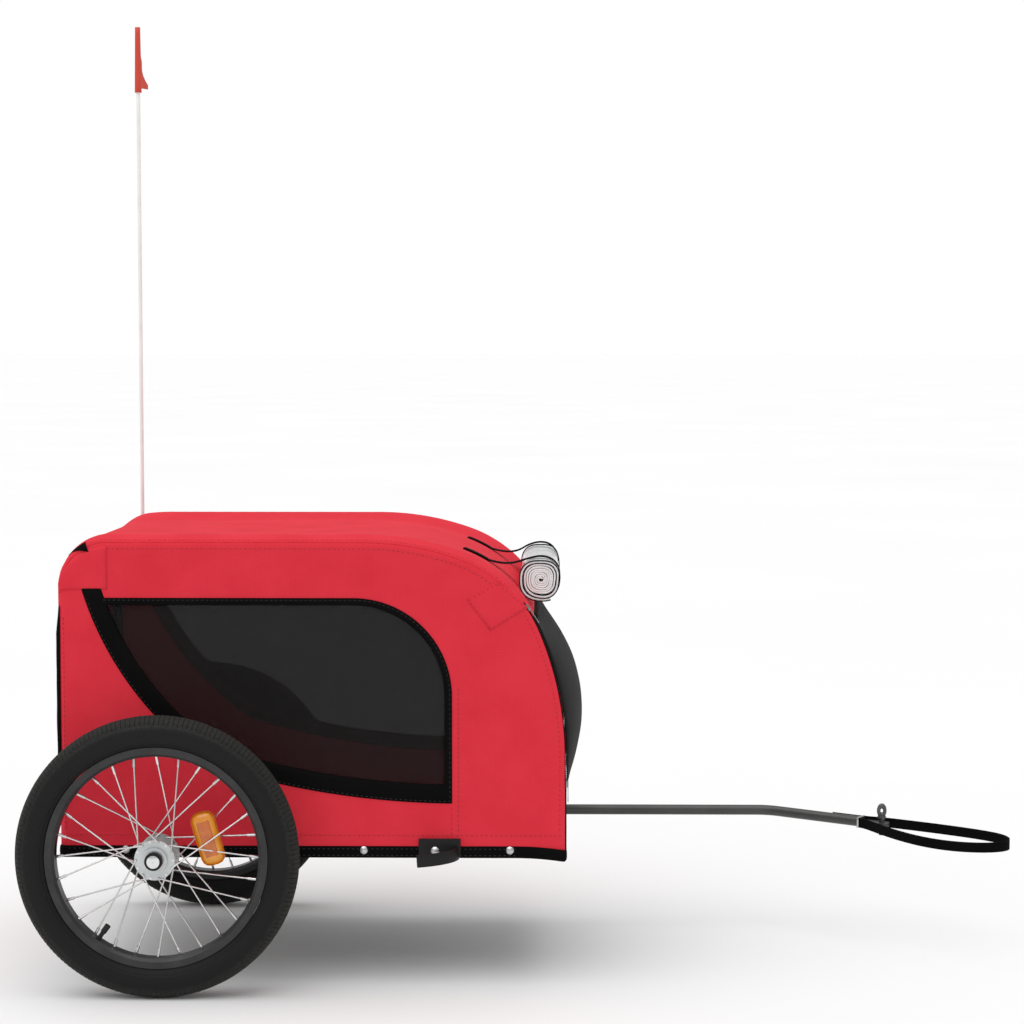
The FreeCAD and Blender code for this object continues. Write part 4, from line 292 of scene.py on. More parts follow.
# Phosphated hitch pin: dull dark grey metal.
dark_steel = moulded("phosphated_steel_dark_grey", "#6A6A6A", "#555555", 0.45, 0.003, 0.0002, Metallic=0.85)
# Zip sliders: die-cast, nickel plated and a little dulled.
dull_nickel = moulded("nickel_plated_zinc_casting", "#A3A3A2", "#858584", 0.32, 0.003, 0.0001, Metallic=1.0)
# Stainless spokes and springs: clean drawn wire with a bright line along it.
spoke_steel = moulded("drawn_stainless_steel", "#E4E4E4", "#CFCFCF", 0.25, 0.004, 0.0001, Metallic=1.0)
# Cast hub shells: pale alloy with a sanded skin.
hub_alloy = moulded("cast_aluminium_satin", "#D2D5D5", "#BFC3C3", 0.42, 0.0016, 0.0002, Metallic=0.9)
# Chrome on the release buttons: mirror bright.
button_chrome = moulded("chromed_steel_polished", "#E2E3E3", "#D5D7D7", 0.12, 0.006, 0.0001, Metallic=1.0)
# Floor board: dark laminated panel with a dull face.
floor_panel = moulded("laminated_board_dark", "#3D3A37", "#322F2D", 0.7, 0.004, 0.0003)
# Fibreglass pole: off-white resin over fine strands.
fibreglass = moulded("pultruded_fibreglass_white", "#F6F6F3", "#ECECE8", 0.4, 0.002, 0.0001)
# Amber acrylic of the spoke reflectors: glossy, as if under a clear coat.
amber_lens = moulded("moulded_acrylic_amber", "#E8992A", "#D9861D", 0.2, 0.004, 0.0002,
                     Specular_IOR_Level=0.6, Coat_Weight=0.3)
# Thread of the seams: twisted polyester, black on black cloth; the red thread's darker red is partly painted
# shade of the needle holes.
red_thread = moulded("twisted_polyester_thread_red", "#B02231", "#9E1F2C", 0.6, 0.001, 0.0002)
black_thread = moulded("twisted_polyester_thread_black", "#1B1B1B", "#141414", 0.6, 0.001, 0.0002)

NODE_FINISH = {
    "base_frame": black_tube, "cross_bars": black_tube, "tow_bracket": black_tube,
    "rail_end_caps": black_moulding, "bar_connectors": black_moulding, "axle_caps": black_moulding,
    "tow_saddle": black_moulding, "flag_holders": black_moulding, "floor_board": floor_panel,
    "axles": zinc_steel, "dome_screws": zinc_steel, "tow_pivot_bolt": zinc_steel,
    "tow_bar": grey_tube, "hitch_tongue": grey_tube, "flag_pole": fibreglass,
}
WHEEL_FINISH = {
    "_inner_tube": tube_rubber, "_rim": black_rim, "_valve": tube_rubber, "_hub": hub_alloy,
    "_bearings": zinc_steel, "_spokes": spoke_steel, "_release_button": button_chrome,
}
for side_name, _ in SIDES:
    NODE_FINISH.update({side_name + part: finish for part, finish in WHEEL_FINISH.items()})
for node_name, node_finish in NODE_FINISH.items():
    node_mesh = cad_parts[node_name].data
    node_mesh.materials.clear()
    node_mesh.materials.append(node_finish)

SLOT_FINISHES = {
    "red_canvas": (red_canvas, red_thread), "black_canvas": (black_canvas, black_thread),
    "black_webbing": (black_webbing,), "black_mesh": (window_net, door_mesh), "clear_vinyl": (clear_vinyl,),
    "flag_cloth": (flag_cloth,), "tyre_rubber": (tyre_rubber,), "amber_lens": (amber_lens, amber_prisms),
    "black_moulding": (black_moulding,), "black_tube": (black_tube,), "grey_tube": (grey_tube,),
    "zinc_steel": (zinc_steel, dark_steel, dull_nickel), "spoke_steel": (spoke_steel,),
}
SLOTS = {finish.name: slot for slot, finishes in SLOT_FINISHES.items() for finish in finishes}


# Shapes that the cloth follows

CORNER_LENGTH = REAR_CORNER * math.pi / 2
REAR_LENGTH = ROOF_Z - REAR_CORNER - CLOTH_FOOT_Z
FLAT_LENGTH = ROOF_FLAT_END - REAR_X - REAR_CORNER
ROOF_ARC_LENGTH = ROOF_ARC * math.radians(ROOF_TURN)
NOSE_LENGTH = NOSE_ARC * math.radians(NOSE_TURN - ROOF_TURN)
FRONT_ARC_LENGTH = FRONT_ARC * math.radians(90 - NOSE_TURN)
STRETCHES = [
    (REAR_LENGTH, None), (CORNER_LENGTH, REAR_CORNER), (FLAT_LENGTH, None), (ROOF_ARC_LENGTH, ROOF_ARC),
    (NOSE_LENGTH, NOSE_ARC), (FRONT_ARC_LENGTH, FRONT_ARC), (ROOF_Z, None),
]


def outline_at(length, lift=0.0):
    """A point (ahead of the axle, height) of the cabin's side outline, measured from the rear foot."""
    x, z, heading = REAR_X, CLOTH_FOOT_Z, math.pi / 2
    for run, radius in STRETCHES:
        step = min(length, run)
        if radius:
            turn = step / radius
            x += radius * (math.sin(heading) - math.sin(heading - turn))
            z += radius * (math.cos(heading - turn) - math.cos(heading))
            heading -= turn
        else:
            x += step * math.cos(heading)
            z += step * math.sin(heading)
        length -= step
        if length <= 0:
            break
    return Vector((x - lift * math.sin(heading), z + lift * math.cos(heading)))


ROOF_START = REAR_LENGTH
ROOF_ARC_START = REAR_LENGTH + CORNER_LENGTH + FLAT_LENGTH
NOSE_START = ROOF_ARC_START + ROOF_ARC_LENGTH
ROOF_END = NOSE_START + NOSE_ARC * math.radians(ROOF_EDGE_TURN - ROOF_TURN)
ROOF_TIP = NOSE_START + NOSE_ARC * math.radians(ROOF_TIP_TURN - ROOF_TURN)
DOOR_FOLD = NOSE_START + NOSE_ARC * math.radians(DOOR_FOLD_TURN - ROOF_TURN)
FRONT_START = NOSE_START + NOSE_LENGTH + FRONT_ARC_LENGTH
DOOR_FOOT = FRONT_START + outline_at(FRONT_START).y - DOOR_FOOT_Z
OUTLINE_END = FRONT_START + outline_at(FRONT_START).y - CLOTH_FOOT_Z


def ease(share):
    """A share of a change that starts and ends gently."""
    share = min(1.0, max(0.0, share))
    return share * share * (3 - 2 * share)


def shoulder_at(length):
    """Radius of the cloth's rolled edge: full along the roof, tight beside the front zips."""
    share = ease((length - ROOF_END + SHOULDER_CHANGE_START) / SHOULDER_CHANGE)
    return SHOULDER + (FRONT_SHOULDER - SHOULDER) * share


def spread(low, high, count):
    """Evenly spaced values, both ends included."""
    return [low + (high - low) * i / (count - 1) for i in range(count)]


def grid(rows, columns, spot):
    """A cloth's spots, row by row; a spot is a place and its point on the flat cloth."""
    return [[spot(row, column) for column in columns] for row in rows]


def arc_points(start, end, radius, count):
    """Points of an arc that turns right from start to end; the end itself is left out."""
    chord = end - start
    middle = (start + end) / 2
    right = Vector((chord.y, -chord.x)).normalized()
    centre = middle + right * math.sqrt(radius ** 2 - (chord.length / 2) ** 2)
    first = math.atan2(start.y - centre.y, start.x - centre.x)
    last = math.atan2(end.y - centre.y, end.x - centre.x)
    sweep = (first - last) % (2 * math.pi)
    turns = [first - sweep * i / count for i in range(count)]
    return [centre + radius * Vector((math.cos(t), math.sin(t))) for t in turns]


def line_points(start, end, count):
    """Points of a straight stretch; the end itself is left out."""
    return [start.lerp(end, i / count) for i in range(count)]


def rake_at(z, band):
    """The window's slanted rear edge at a height, set in by the width of its border."""
    return Vector((RAKE_CENTRE.x - math.sqrt((RAKE_ARC - band) ** 2 - (z - RAKE_CENTRE.y) ** 2), z))


def sill_at(x, band):
    """The window's curved foot at a distance ahead of the axle."""
    return Vector((x, SILL_CENTRE.y - math.sqrt((SILL_ARC - band) ** 2 - (x - SILL_CENTRE.x) ** 2)))


def window_loop(edge, band):
    """The side window's outline, clockwise from its rear top, set in by the widths of its border."""
    front = WINDOW_FRONT_X - edge
    top = WINDOW_TOP - edge
    rear_top = rake_at(top, band)
    arc_start = Vector((WINDOW_FRONT_X - WINDOW_CORNER, top))
    arc_end = Vector((front, WINDOW_TOP - WINDOW_CORNER))
    low_front = sill_at(front, band)
    knee = low_front
    for _ in range(30):
        knee = sill_at(rake_at(knee.y, band).x, band)
    return (line_points(rear_top, arc_start, 56) + arc_points(arc_start, arc_end, WINDOW_CORNER - edge, 36)
            + line_points(arc_end, low_front, 24) + arc_points(low_front, knee, SILL_ARC - band, 52)
            + arc_points(knee, rear_top, RAKE_ARC - band, 48))


def at(x, y, z):
    """A place in the frame from its distance ahead of the axle."""
    return Vector((AXLE_X + x, y, z))


def outline_place(length, y, lift=0.0):
    """A place in the frame on the cabin's outline, sideways from its middle."""
    point = outline_at(length, lift)
    return at(point.x, y, point.y)


GATHER_FADE = 0.018


def ripple(length, depth, pitch, seed):
    """A gathered edge's waves: uneven along the seam, fading with the distance from it."""
    wander = noise.noise(Vector((length * 9, seed, 0.3)))
    wave = math.sin(2 * math.pi * length / pitch + 5 * wander) * (0.6 + 0.4 * wander)
    return wave * math.exp(-depth / GATHER_FADE)


def sway(x, z, seed):
    """Slow hollows and swells of a cloth under tension."""
    return noise.noise(Vector((x * 6, z * 6, seed))) + 0.4 * noise.noise(Vector((x * 15, z * 15, seed + 7)))


# Making pieces

AXLE_HOLE, HOLE_DEPTH = 0.0128, 0.08
WELD_GAP = 0.00005


def finish_modifier(piece, kind, **settings):
    """Adds a modifier and applies it at once."""
    bpy.context.view_layer.objects.active = piece
    made = piece.modifiers.new(kind.lower(), kind)
    for name, value in settings.items():
        setattr(made, name, value)
    bpy.ops.object.modifier_apply(modifier=made.name)


def settle():
    """Puts the active piece's place, turn and size into its mesh."""
    bpy.ops.object.transform_apply(location=True, rotation=True, scale=True)


def choose(piece, kind, test):
    """Selects the vertices, edges or faces that pass a test, and goes on in edit mode."""
    bpy.ops.object.mode_set(mode="EDIT")
    bpy.ops.mesh.select_all(action="DESELECT")
    bpy.ops.object.mode_set(mode="OBJECT")
    for element in getattr(piece.data, kind):
        element.select = test(element)
    bpy.ops.object.mode_set(mode="EDIT")


def dress(piece, body, finish, nodes=(), slot=None):
    """Gives a piece its finish and the body that it moves with, and hides the solids that it stands for."""
    piece.data.materials.clear()
    piece.data.materials.append(finish)
    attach(piece, body)
    slot or SLOTS[finish.name]
    if nodes:
        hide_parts(*nodes)


def cut_axle_hole(piece, side):
    """Opens the cloth where the axle tube comes through."""
    bpy.ops.mesh.primitive_cylinder_add(vertices=40, radius=AXLE_HOLE, depth=HOLE_DEPTH,
                                        location=at(0, side * HALF_WIDTH, AXLE_Z),
                                        rotation=(math.pi / 2, 0, 0))
    cutter = bpy.context.object
    finish_modifier(piece, "BOOLEAN", operation="DIFFERENCE", object=cutter)
    bpy.data.objects.remove(cutter)


def sew(name, spots, thick, finish, nodes=(), cut=None, body="trailer",
        ring=False, hole_side=0):
    """A piece of cloth through rows of spots; cut, the size of the flat sheet that it was made from, is not
    used.
    """
    count = len(spots[0])
    columns = range(count if ring else count - 1)
    faces = [
        (r * count + c, r * count + (c + 1) % count, (r + 1) * count + (c + 1) % count, (r + 1) * count + c)
        for r in range(len(spots) - 1) for c in columns
    ]
    flat = [point for row in spots for _, point in row]
    mesh = bpy.data.meshes.new(name)
    mesh.from_pydata([place for row in spots for place, _ in row], [], faces)
    weave = mesh.uv_layers.new(name="weave")
    for loop in mesh.loops:
        weave.data[loop.index].uv = flat[loop.vertex_index]
    piece = bpy.data.objects.new(name, mesh)
    bpy.context.scene.collection.objects.link(piece)
    finish_modifier(piece, "SOLIDIFY", thickness=thick, offset=0.0, use_even_offset=True)
    piece.data.polygons.foreach_set("use_smooth", [True] * len(piece.data.polygons))
    if hole_side:
        cut_axle_hole(piece, hole_side)
    dress(piece, body, finish, nodes)
    return piece


def smooth_points(corners, steps=10):
    """Points along one smooth curve that starts at the first corner and ends at the last."""
    curve = bpy.data.curves.new("route", "CURVE")
    curve.dimensions = "3D"
    curve.resolution_u = steps
    spline = curve.splines.new("NURBS")
    spline.points.add(len(corners) - 1)
    for point, corner in zip(spline.points, corners):
        point.co = (*corner, 1.0)
    spline.order_u = 3
    spline.use_endpoint_u = True
    holder = bpy.data.objects.new("route", curve)
    mesh = bpy.data.meshes.new_from_object(holder)
    points = [v.co.copy() for v in mesh.vertices]
    bpy.data.objects.remove(holder)
    bpy.data.meshes.remove(mesh)
    return points


def ribbon(line, across, widths):
    """A strap's spots along a line, wide in one direction, and the strap's length."""
    lengths = [0.0]
    for a, b in zip(line, line[1:]):
        lengths.append(lengths[-1] + (b - a).length)
    spots = grid(widths, list(zip(line, lengths)), lambda w, step: (step[0] + across * w, (step[1], w)))
    return spots, lengths[-1]


def join_parts(parts, name):
    """Joins parts into one piece."""
    bpy.ops.object.select_all(action="DESELECT")
    for part in parts:
        part.select_set(True)
    bpy.context.view_layer.objects.active = parts[0]
    if len(parts) > 1:
        bpy.ops.object.join()
    piece = bpy.context.object
    piece.name = name
    return piece


EDGE_ANGLE = math.radians(40)


def soften(piece, width, segments=2):
    """Rounds a piece's sharp edges."""
    settle()
    finish_modifier(piece, "BEVEL", width=width, segments=segments, limit_method="ANGLE",
                    angle_limit=EDGE_ANGLE)
    bpy.ops.object.shade_smooth_by_angle(angle=EDGE_ANGLE)


STITCH_PITCH, STITCH_SIZE = 0.0070, (0.0021, 0.0006, 0.0006)
TOOTH_PITCH, TOOTH_SIZE = 0.0026, (0.0009, 0.0017, 0.0015)


def beads(name, routes, pitch, size, finish, slot=None):
    """One small bead, copied along each route: stitches of a seam, or the teeth of a zip."""
    rows = []
    for route in routes:
        curve = bpy.data.curves.new("route", "CURVE")
        curve.dimensions = "3D"
        spline = curve.splines.new("POLY")
        spline.points.add(len(route) - 1)
        for point, place in zip(spline.points, route):
            point.co = (*place, 1.0)
        line = bpy.data.objects.new("route", curve)
        bpy.context.scene.collection.objects.link(line)
        bpy.ops.object.select_all(action="DESELECT")
        bpy.ops.mesh.primitive_uv_sphere_add(segments=6, ring_count=4, radius=1.0,
                                             location=(pitch / 2, 0, 0), scale=size)
        row = bpy.context.object
        settle()
        finish_modifier(row, "ARRAY", fit_type="FIT_CURVE", curve=line, use_relative_offset=False,
                        use_constant_offset=True, constant_offset_displace=(pitch, 0, 0))
        finish_modifier(row, "CURVE", object=line, deform_axis="POS_X")
        bpy.data.objects.remove(line)
        rows.append(row)
    piece = join_parts(rows, name)
    bpy.ops.object.shade_smooth()
    dress(piece, "trailer", finish, slot=slot)


# Side walls

WALL_LAP, SILL_LAP = 0.004, 0.006
OUTLINE_STEPS, FOOT_STEPS = 700, 400
NEAR_EDGE = [0, 0.002, 0.004, 0.006, 0.008, 0.010, 0.012, 0.014, 0.017, 0.021, 0.026]
INNER_ROWS = 18
ROLL_TURNS = (100, 90, 72, 54, 36, 18)
FOOT_TUCK, EDGE_TUCK, CORNER_GAP = 0.012, 0.005, 0.0005
TAUT_EDGE, TAUT_WINDOW = 0.03, 0.025
WALL_SWELL, WALL_GATHER, WALL_GATHER_PITCH = 0.0012, 0.0008, 0.021


def nearest_to(points):
    """A search for the nearest of some points of a side view."""
    tree = kdtree.KDTree(len(points))
    for i, p in enumerate(points):
        tree.insert((p.x, p.y, 0.0), i)
    tree.balance()
    return tree


EDGE_LENGTHS = spread(0, OUTLINE_END, 900)
FOOT_POINTS = [Vector((x, CLOTH_FOOT_Z)) for x in spread(FRONT_X, REAR_X, 500)]
WALL_EDGE = nearest_to([outline_at(length) for length in EDGE_LENGTHS] + FOOT_POINTS)
WINDOW_BORDER = nearest_to(window_loop(0, 0))


def wall_relief(p, side):
    """How far the wall's cloth stands out of its plane: taut at its seams, swelling between them."""
    _, index, depth = WALL_EDGE.find((p.x, p.y, 0.0))
    _, _, window_gap = WINDOW_BORDER.find((p.x, p.y, 0.0))
    along = EDGE_LENGTHS[index] if index < len(EDGE_LENGTHS) else OUTLINE_END + FRONT_X - p.x
    free = min(1.0, depth / TAUT_EDGE, window_gap / TAUT_WINDOW)
    swell = WALL_SWELL * sway(p.x, p.y, 2.0 + side)
    gather = WALL_GATHER * ripple(along, depth, WALL_GATHER_PITCH, 1.0 + side)
    return free * (swell + gather)


def on_wall(p, side, lift=0.0):
    """A place on the wall's cloth."""
    return at(p.x, side * (HALF_WIDTH + wall_relief(p, side) + lift), p.y)


def bearing(p):
    """Direction of a point of the side view from the window's eye."""
    return math.atan2(p.y - WINDOW_EYE.y, p.x - WINDOW_EYE.x)


def turn_between(a, b):
    """Angle between two bearings."""
    return abs((a - b + math.pi) % (2 * math.pi) - math.pi)


def outer_columns(window):
    """For each window point, the point of the wall's outer edge behind it, seen from the window's eye.

    With the point comes its length along the outline, or None on the wall's foot.
    """
    edge = [(outline_at(length, -shoulder_at(length)), length)
            for length in spread(0, OUTLINE_END, OUTLINE_STEPS)]
    corners = (edge[0], edge[-1])
    foot = spread(FRONT_X - FRONT_SHOULDER, REAR_X + SHOULDER, FOOT_STEPS)[1:-1]
    edge += [(Vector((x, CLOTH_FOOT_Z)), None) for x in foot]
    bearings = [bearing(p) for p, _ in edge]
    columns = []
    for p in window:
        own = bearing(p)
        columns.append(edge[min(range(len(edge)), key=lambda i: turn_between(bearings[i], own))])
    for corner in corners:
        own = bearing(corner[0])
        near = min(range(len(window)), key=lambda i: turn_between(bearing(window[i]), own))
        columns[near] = corner
    return columns


def make_side_wall(side_name, side):
    """Red wall: flat cloth round the window, rolled over the hoop at its edge and tucked in."""
    window = window_loop(WINDOW_EDGE - WALL_LAP, WINDOW_SILL - SILL_LAP)
    columns = list(zip(window, outer_columns(window)))

    def rolled_spot(turn, column):
        _, (outer, length) = column
        bend = math.radians(min(turn, 90))
        inset = EDGE_TUCK if turn > 90 else 0.0
        drop = FOOT_TUCK * turn / 100
        if length is None:
            p = Vector((outer.x, CLOTH_FOOT_Z - drop))
            inset = 0.0
        else:
            radius = shoulder_at(length)
            p = outline_at(length, -radius * (1 - math.sin(bend)) - CLOTH / 2)
            inset += radius * (1 - math.cos(bend))
            if not CORNER_GAP < length < OUTLINE_END - CORNER_GAP:
                p.y -= drop
        return at(p.x, side * (HALF_WIDTH - CLOTH / 2 - inset), p.y), (p.x, p.y)

    def flat_spot(step, column):
        inner, (outer, _) = column
        ray = inner - outer
        depth = NEAR_EDGE[min(step, len(NEAR_EDGE) - 1)]
        if step >= len(NEAR_EDGE):
            depth += (ray.length - depth) * (step - len(NEAR_EDGE) + 1) / INNER_ROWS
        p = outer + ray.normalized() * depth
        return on_wall(p, side, -CLOTH / 2), (p.x, p.y)

    spots = grid(ROLL_TURNS, columns, rolled_spot)
    spots += grid(range(len(NEAR_EDGE) + INNER_ROWS), columns, flat_spot)
    sew(side_name + "_wall_cloth", spots, CLOTH, red_canvas, [side_name + "_side_wall"], (0.76, 0.50),
        ring=True, hole_side=side)


NET_EDGE, NET_SILL = 0.002, 0.004
NET_DEPTH, NET_SAG, NET_THICK = 0.0022, 0.002, 0.0006
NET_SHARES = (0, 0.06, 0.14, 0.24, 0.36, 0.5, 0.64, 0.78, 0.9, 0.9995)
BORDER_PROFILE = ((0, 0.0004), (0.05, 0.0013), (0.3, 0.0017), (0.7, 0.0017), (0.95, 0.0013), (1, -0.0012))


def make_window(side_name, side):
    """Window net behind the wall, and the black border sewn on in front."""
    rim = window_loop(NET_EDGE, NET_SILL)
    middle = sum(rim, Vector((0, 0))) / len(rim)

    def net_spot(share, edge):
        p = edge.lerp(middle, share)
        depth = NET_DEPTH + NET_SAG * share * (1.2 + sway(p.x, p.y, 9.0))
        return at(p.x, side * (HALF_WIDTH - depth), p.y), (p.x, p.y)

    def border_spot(step, edges):
        share, lift = step
        p = edges[0].lerp(edges[1], share)
        return at(p.x, side * (HALF_WIDTH + lift), p.y), (p.x, p.y)

    sew(side_name + "_window_net", grid(NET_SHARES, rim, net_spot), NET_THICK, window_net, ["window_meshes"],
        (0.50, 0.29), ring=True)
    edges = list(zip(window_loop(0, 0), window_loop(WINDOW_EDGE, WINDOW_SILL)))
    sew(side_name + "_window_border", grid(BORDER_PROFILE, edges, border_spot), CLOTH, black_canvas,
        ["window_bindings"], (0.17, 0.17), ring=True)


# Roof and end panels

# Each hump: its height, its fall towards the middle, and where its rise starts on the roof and ends
RIGHT_HUMP, LEFT_HUMP = (0.0042, 0.095, -0.006, 0.10), (0.0105, 0.060, 0.062, 0.080)
HUMP_PLACE, HUMP_EDGE, HUMP_SAG, NOSE_FALL = 0.188, HALF_WIDTH - 0.006, 0.92, 0.045
ROOF_LIFT, LAP_LIFT, LAP_DROP, LAP_TURN = 0.0007, 0.0006, 0.0009, 0.6
ROOF_LAP, ROOF_TUCK = HALF_WIDTH - SHOULDER + 0.010, 0.006
ROOF_SLACK, ROOF_GATHER, ROOF_GATHER_PITCH = 0.0016, 0.0005, 0.023
ROOF_EDGE_SHARES = (0.005, 0.01, 0.016, 0.03)
ZIP_OUTER = HALF_WIDTH - FRONT_SHOULDER
ZIP_INNER = ZIP_OUTER - 0.010
ZIP_GAP = 0.001


def across_roof(q):
    """A place across the roof at a distance from its middle line: (sideways, lift off the outline)."""
    flat = HALF_WIDTH - SHOULDER
    if abs(q) <= flat:
        return q, ROOF_LIFT
    bend = (abs(q) - flat) / SHOULDER
    proud = SHOULDER + LAP_LIFT - LAP_DROP * max(0.0, bend - LAP_TURN) / (1 - LAP_TURN)
    return math.copysign(flat + proud * math.sin(bend), q), proud * math.cos(bend) - SHOULDER


def roof_hump(q, length):
    """How far the hoops lift the roof beside its edges; between them it hangs slack."""
    height, fall, rise_start, rise_run = RIGHT_HUMP if q < 0 else LEFT_HUMP
    side = abs(q)
    if side >= HUMP_EDGE:
        return 0.0
    if side > HUMP_PLACE:
        rise = math.cos((side - HUMP_PLACE) / (HUMP_EDGE - HUMP_PLACE) * math.pi / 2) ** 2
    else:
        rise = 1 - HUMP_SAG * ease((HUMP_PLACE - side) / fall)
    rear = min(1.0, max(0.0, (length - ROOF_START - rise_start) / rise_run))
    if q >= 0:
        rear *= 2 - rear
    return height * rise * min(rear, max(0.0, ROOF_TIP - length) / NOSE_FALL)


def make_roof():
    """One red sheet from the rear corners over the bars to the nose, felled on to both walls."""
    shares = spread(-1, 1, 90) + [s * (1 - d) for s in (-1, 1) for d in ROOF_EDGE_SHARES]

    def spot(length, share):
        q = share * (ROOF_LAP if length < ROOF_END else ZIP_INNER - ZIP_GAP)
        y, lift = across_roof(q)
        slack = ROOF_SLACK * max(0.0, 1 - (q / HUMP_PLACE) ** 2) * sway(length, q, 21.0)
        gather = ROOF_GATHER * ripple(length, ROOF_LAP - abs(q), ROOF_GATHER_PITCH, 13.0)
        return outline_place(length, y, lift + roof_hump(q, length) + slack + gather), (length, q)

    spots = grid(spread(ROOF_START - ROOF_TUCK, ROOF_TIP, 130), sorted(shares), spot)
    sew("roof_cloth", spots, CLOTH, red_canvas, ["roof"], (0.44, 0.80))


STRIP_WRINKLE, STRIP_EDGE, STRIP_TURN = 0.0008, -0.0006, 0.001
HEADER_LAP, HEADER_LIFT = 0.004, -0.0006
LOWER_LAP, LOWER_TUCK, LOWER_LIFT = 0.002, 0.008, 0.0018


def outline_strip(name, low, high, half, lift, node):
    """A black sheet across the cabin that follows its outline, its side edges turned back."""

    def spot(length, y):
        soft = STRIP_WRINKLE * sway(length * 1.3, y, 31.0 + low)
        proud = lift + soft if abs(y) < half - STRIP_TURN else STRIP_EDGE
        return outline_place(length, y, proud), (length, y)

    spots = grid(spread(low, high, 40), spread(-half, half, 60), spot)
    sew(name, spots, CLOTH, black_canvas, [node], (2 * half, high - low))


def make_front_strips():
    """The header under the roof's tip, and the panel below the door."""
    outline_strip("nose_header_cloth", ROOF_TIP - HEADER_LAP, DOOR_FOLD, ZIP_INNER, HEADER_LIFT,
                  "front_header")
    outline_strip("front_lower_cloth", DOOR_FOOT - LOWER_LAP, OUTLINE_END + LOWER_TUCK, ZIP_OUTER,
                  LOWER_LIFT, "front_lower_panel")


DOOR_ARC, DOOR_FOOT_GAP, DOOR_EDGE_LIFT = 0.191, 0.004, 0.0026
DOOR_CREASE, DOOR_THICK = 0.0012, 0.0012


def make_front_door():
    """The front flap: mesh that bellies out between its fold, its zips and its foot."""
    steps = 46
    foot = Vector((FRONT_X + DOOR_FOOT_GAP, DOOR_FOOT_Z))
    belly = arc_points(outline_at(DOOR_FOLD), foot, DOOR_ARC, steps) + [foot]
    half = ZIP_INNER - ZIP_GAP

    def spot(row, y):
        length, bulge = row
        full = (1 - abs(y / half) ** 2.6) ** 0.75
        crease = DOOR_CREASE * sway(length * 2, y * 1.5, 41.0) * full
        point = outline_at(length, DOOR_EDGE_LIFT).lerp(bulge, full)
        return at(point.x + crease, y, point.y), (length, y)

    rows = list(zip(spread(DOOR_FOLD, DOOR_FOOT, steps + 1), belly))
    sew("front_door_mesh", grid(rows, spread(-half, half, 70), spot), DOOR_THICK, door_mesh, ["front_door"],
        (2 * half, 0.27), body="front_flap")


# Patches and seams of the walls

DIAMOND = [Vector((0.433, 0.554)), Vector((0.476, 0.581)), Vector((0.520, 0.544)), Vector((0.466, 0.511))]
REAR_PATCH_FOOT, REAR_PATCH_FRONT = 0.569, -0.079
REAR_PATCH_GAP, REAR_PATCH_DROP = 0.0015, 0.010
HORN_RISE, HORN_DROP = 0.002, 0.007
PATCH_RIM, PATCH_RIM_SHARE, PATCH_SWELL = 0.0007, 0.1, 0.0006
# Each seam along the outline: where it starts and ends, and how far it is set in
OUTLINE_SEAMS = (
    (0.02, REAR_LENGTH - 0.044, 0.0075),
    (ROOF_START + CORNER_LENGTH - 0.01, ROOF_END - 0.03, 0.0135),
    (ROOF_END, OUTLINE_END - 0.02, 0.0075),
)
FELL_WIDTH, FELL_LIFT = 0.0065, 0.0004
FELL_START, FELL_END = ROOF_START + CORNER_LENGTH * 0.7, ROOF_END - 0.01
SEAM_LIFT, DIAMOND_SEAM_LIFT, BORDER_SEAM_LIFT = 0.0002, 0.0012, 0.0019
STRAIGHT_SEAMS = (
    ((-0.138, 0.2165), (0.562, 0.2165)),
    ((0.4205, 0.43), (0.4205, 0.222)),
    ((0.4105, 0.258), (0.4105, 0.222)),
)
DIAMOND_SEAM_SHARE, BORDER_SEAM = 0.07, 0.0028


def across_diamond(u, v):
    """A point of the diamond patch from its shares along and across."""
    rear, top, front, foot = DIAMOND
    return rear.lerp(top, u).lerp(foot.lerp(front, u), v)


def across_rear_patch(u, v):
    """Columns run forward from the rear edge, rows up from the foot to the rounded roof corner."""
    start = REAR_X + REAR_PATCH_GAP
    x = start + u * (REAR_PATCH_FRONT - start)
    away = max(0.0, REAR_X + REAR_CORNER - x)
    top = ROOF_Z - REAR_CORNER + math.sqrt(max(0.0, REAR_CORNER ** 2 - away ** 2)) - REAR_PATCH_DROP
    return Vector((x, REAR_PATCH_FOOT + v * max(0.0, top - REAR_PATCH_FOOT)))


def across_horn(u, v):
    """The window border's end, which runs up past the window to the rear patch."""
    height = REAR_PATCH_FOOT + HORN_RISE - v * (REAR_PATCH_FOOT + HORN_DROP - WINDOW_TOP)
    return rake_at(height, 0).lerp(rake_at(height, WINDOW_SILL), u)


def make_patches(side_name, side):
    """Patches on the wall, their rims turned under and their middles a little full."""
    shares = spread(0, 1, 17)
    for name, across, lift, finish, nodes, cut in (
            ("_diamond_patch", across_diamond, 0.0004, red_canvas, ["corner_patches"], (0.051, 0.058)),
            ("_rear_patch", across_rear_patch, 0.0010, red_canvas, ["corner_patches"], (0.069, 0.062)),
            ("_window_border_end", across_horn, 0.0012, black_canvas, [], (0.030, 0.030))):

        def spot(v, u):
            p = across(u, v)
            rim = min(u, 1 - u, v, 1 - v)
            swell = PATCH_SWELL * math.sin(math.pi * u) * math.sin(math.pi * v)
            full = lift + PATCH_RIM * min(1.0, rim / PATCH_RIM_SHARE) + swell
            return on_wall(p, side, full if rim > 0 else 0.0), (p.x, p.y)

        spots = grid(shares, shares, spot)
        sew(side_name + name, spots, CLOTH, finish, nodes, cut)


def straight_route(start, end, side, lift, count):
    """A straight seam on the wall."""
    return [on_wall(start.lerp(end, share), side, lift) for share in spread(0, 1, count)]


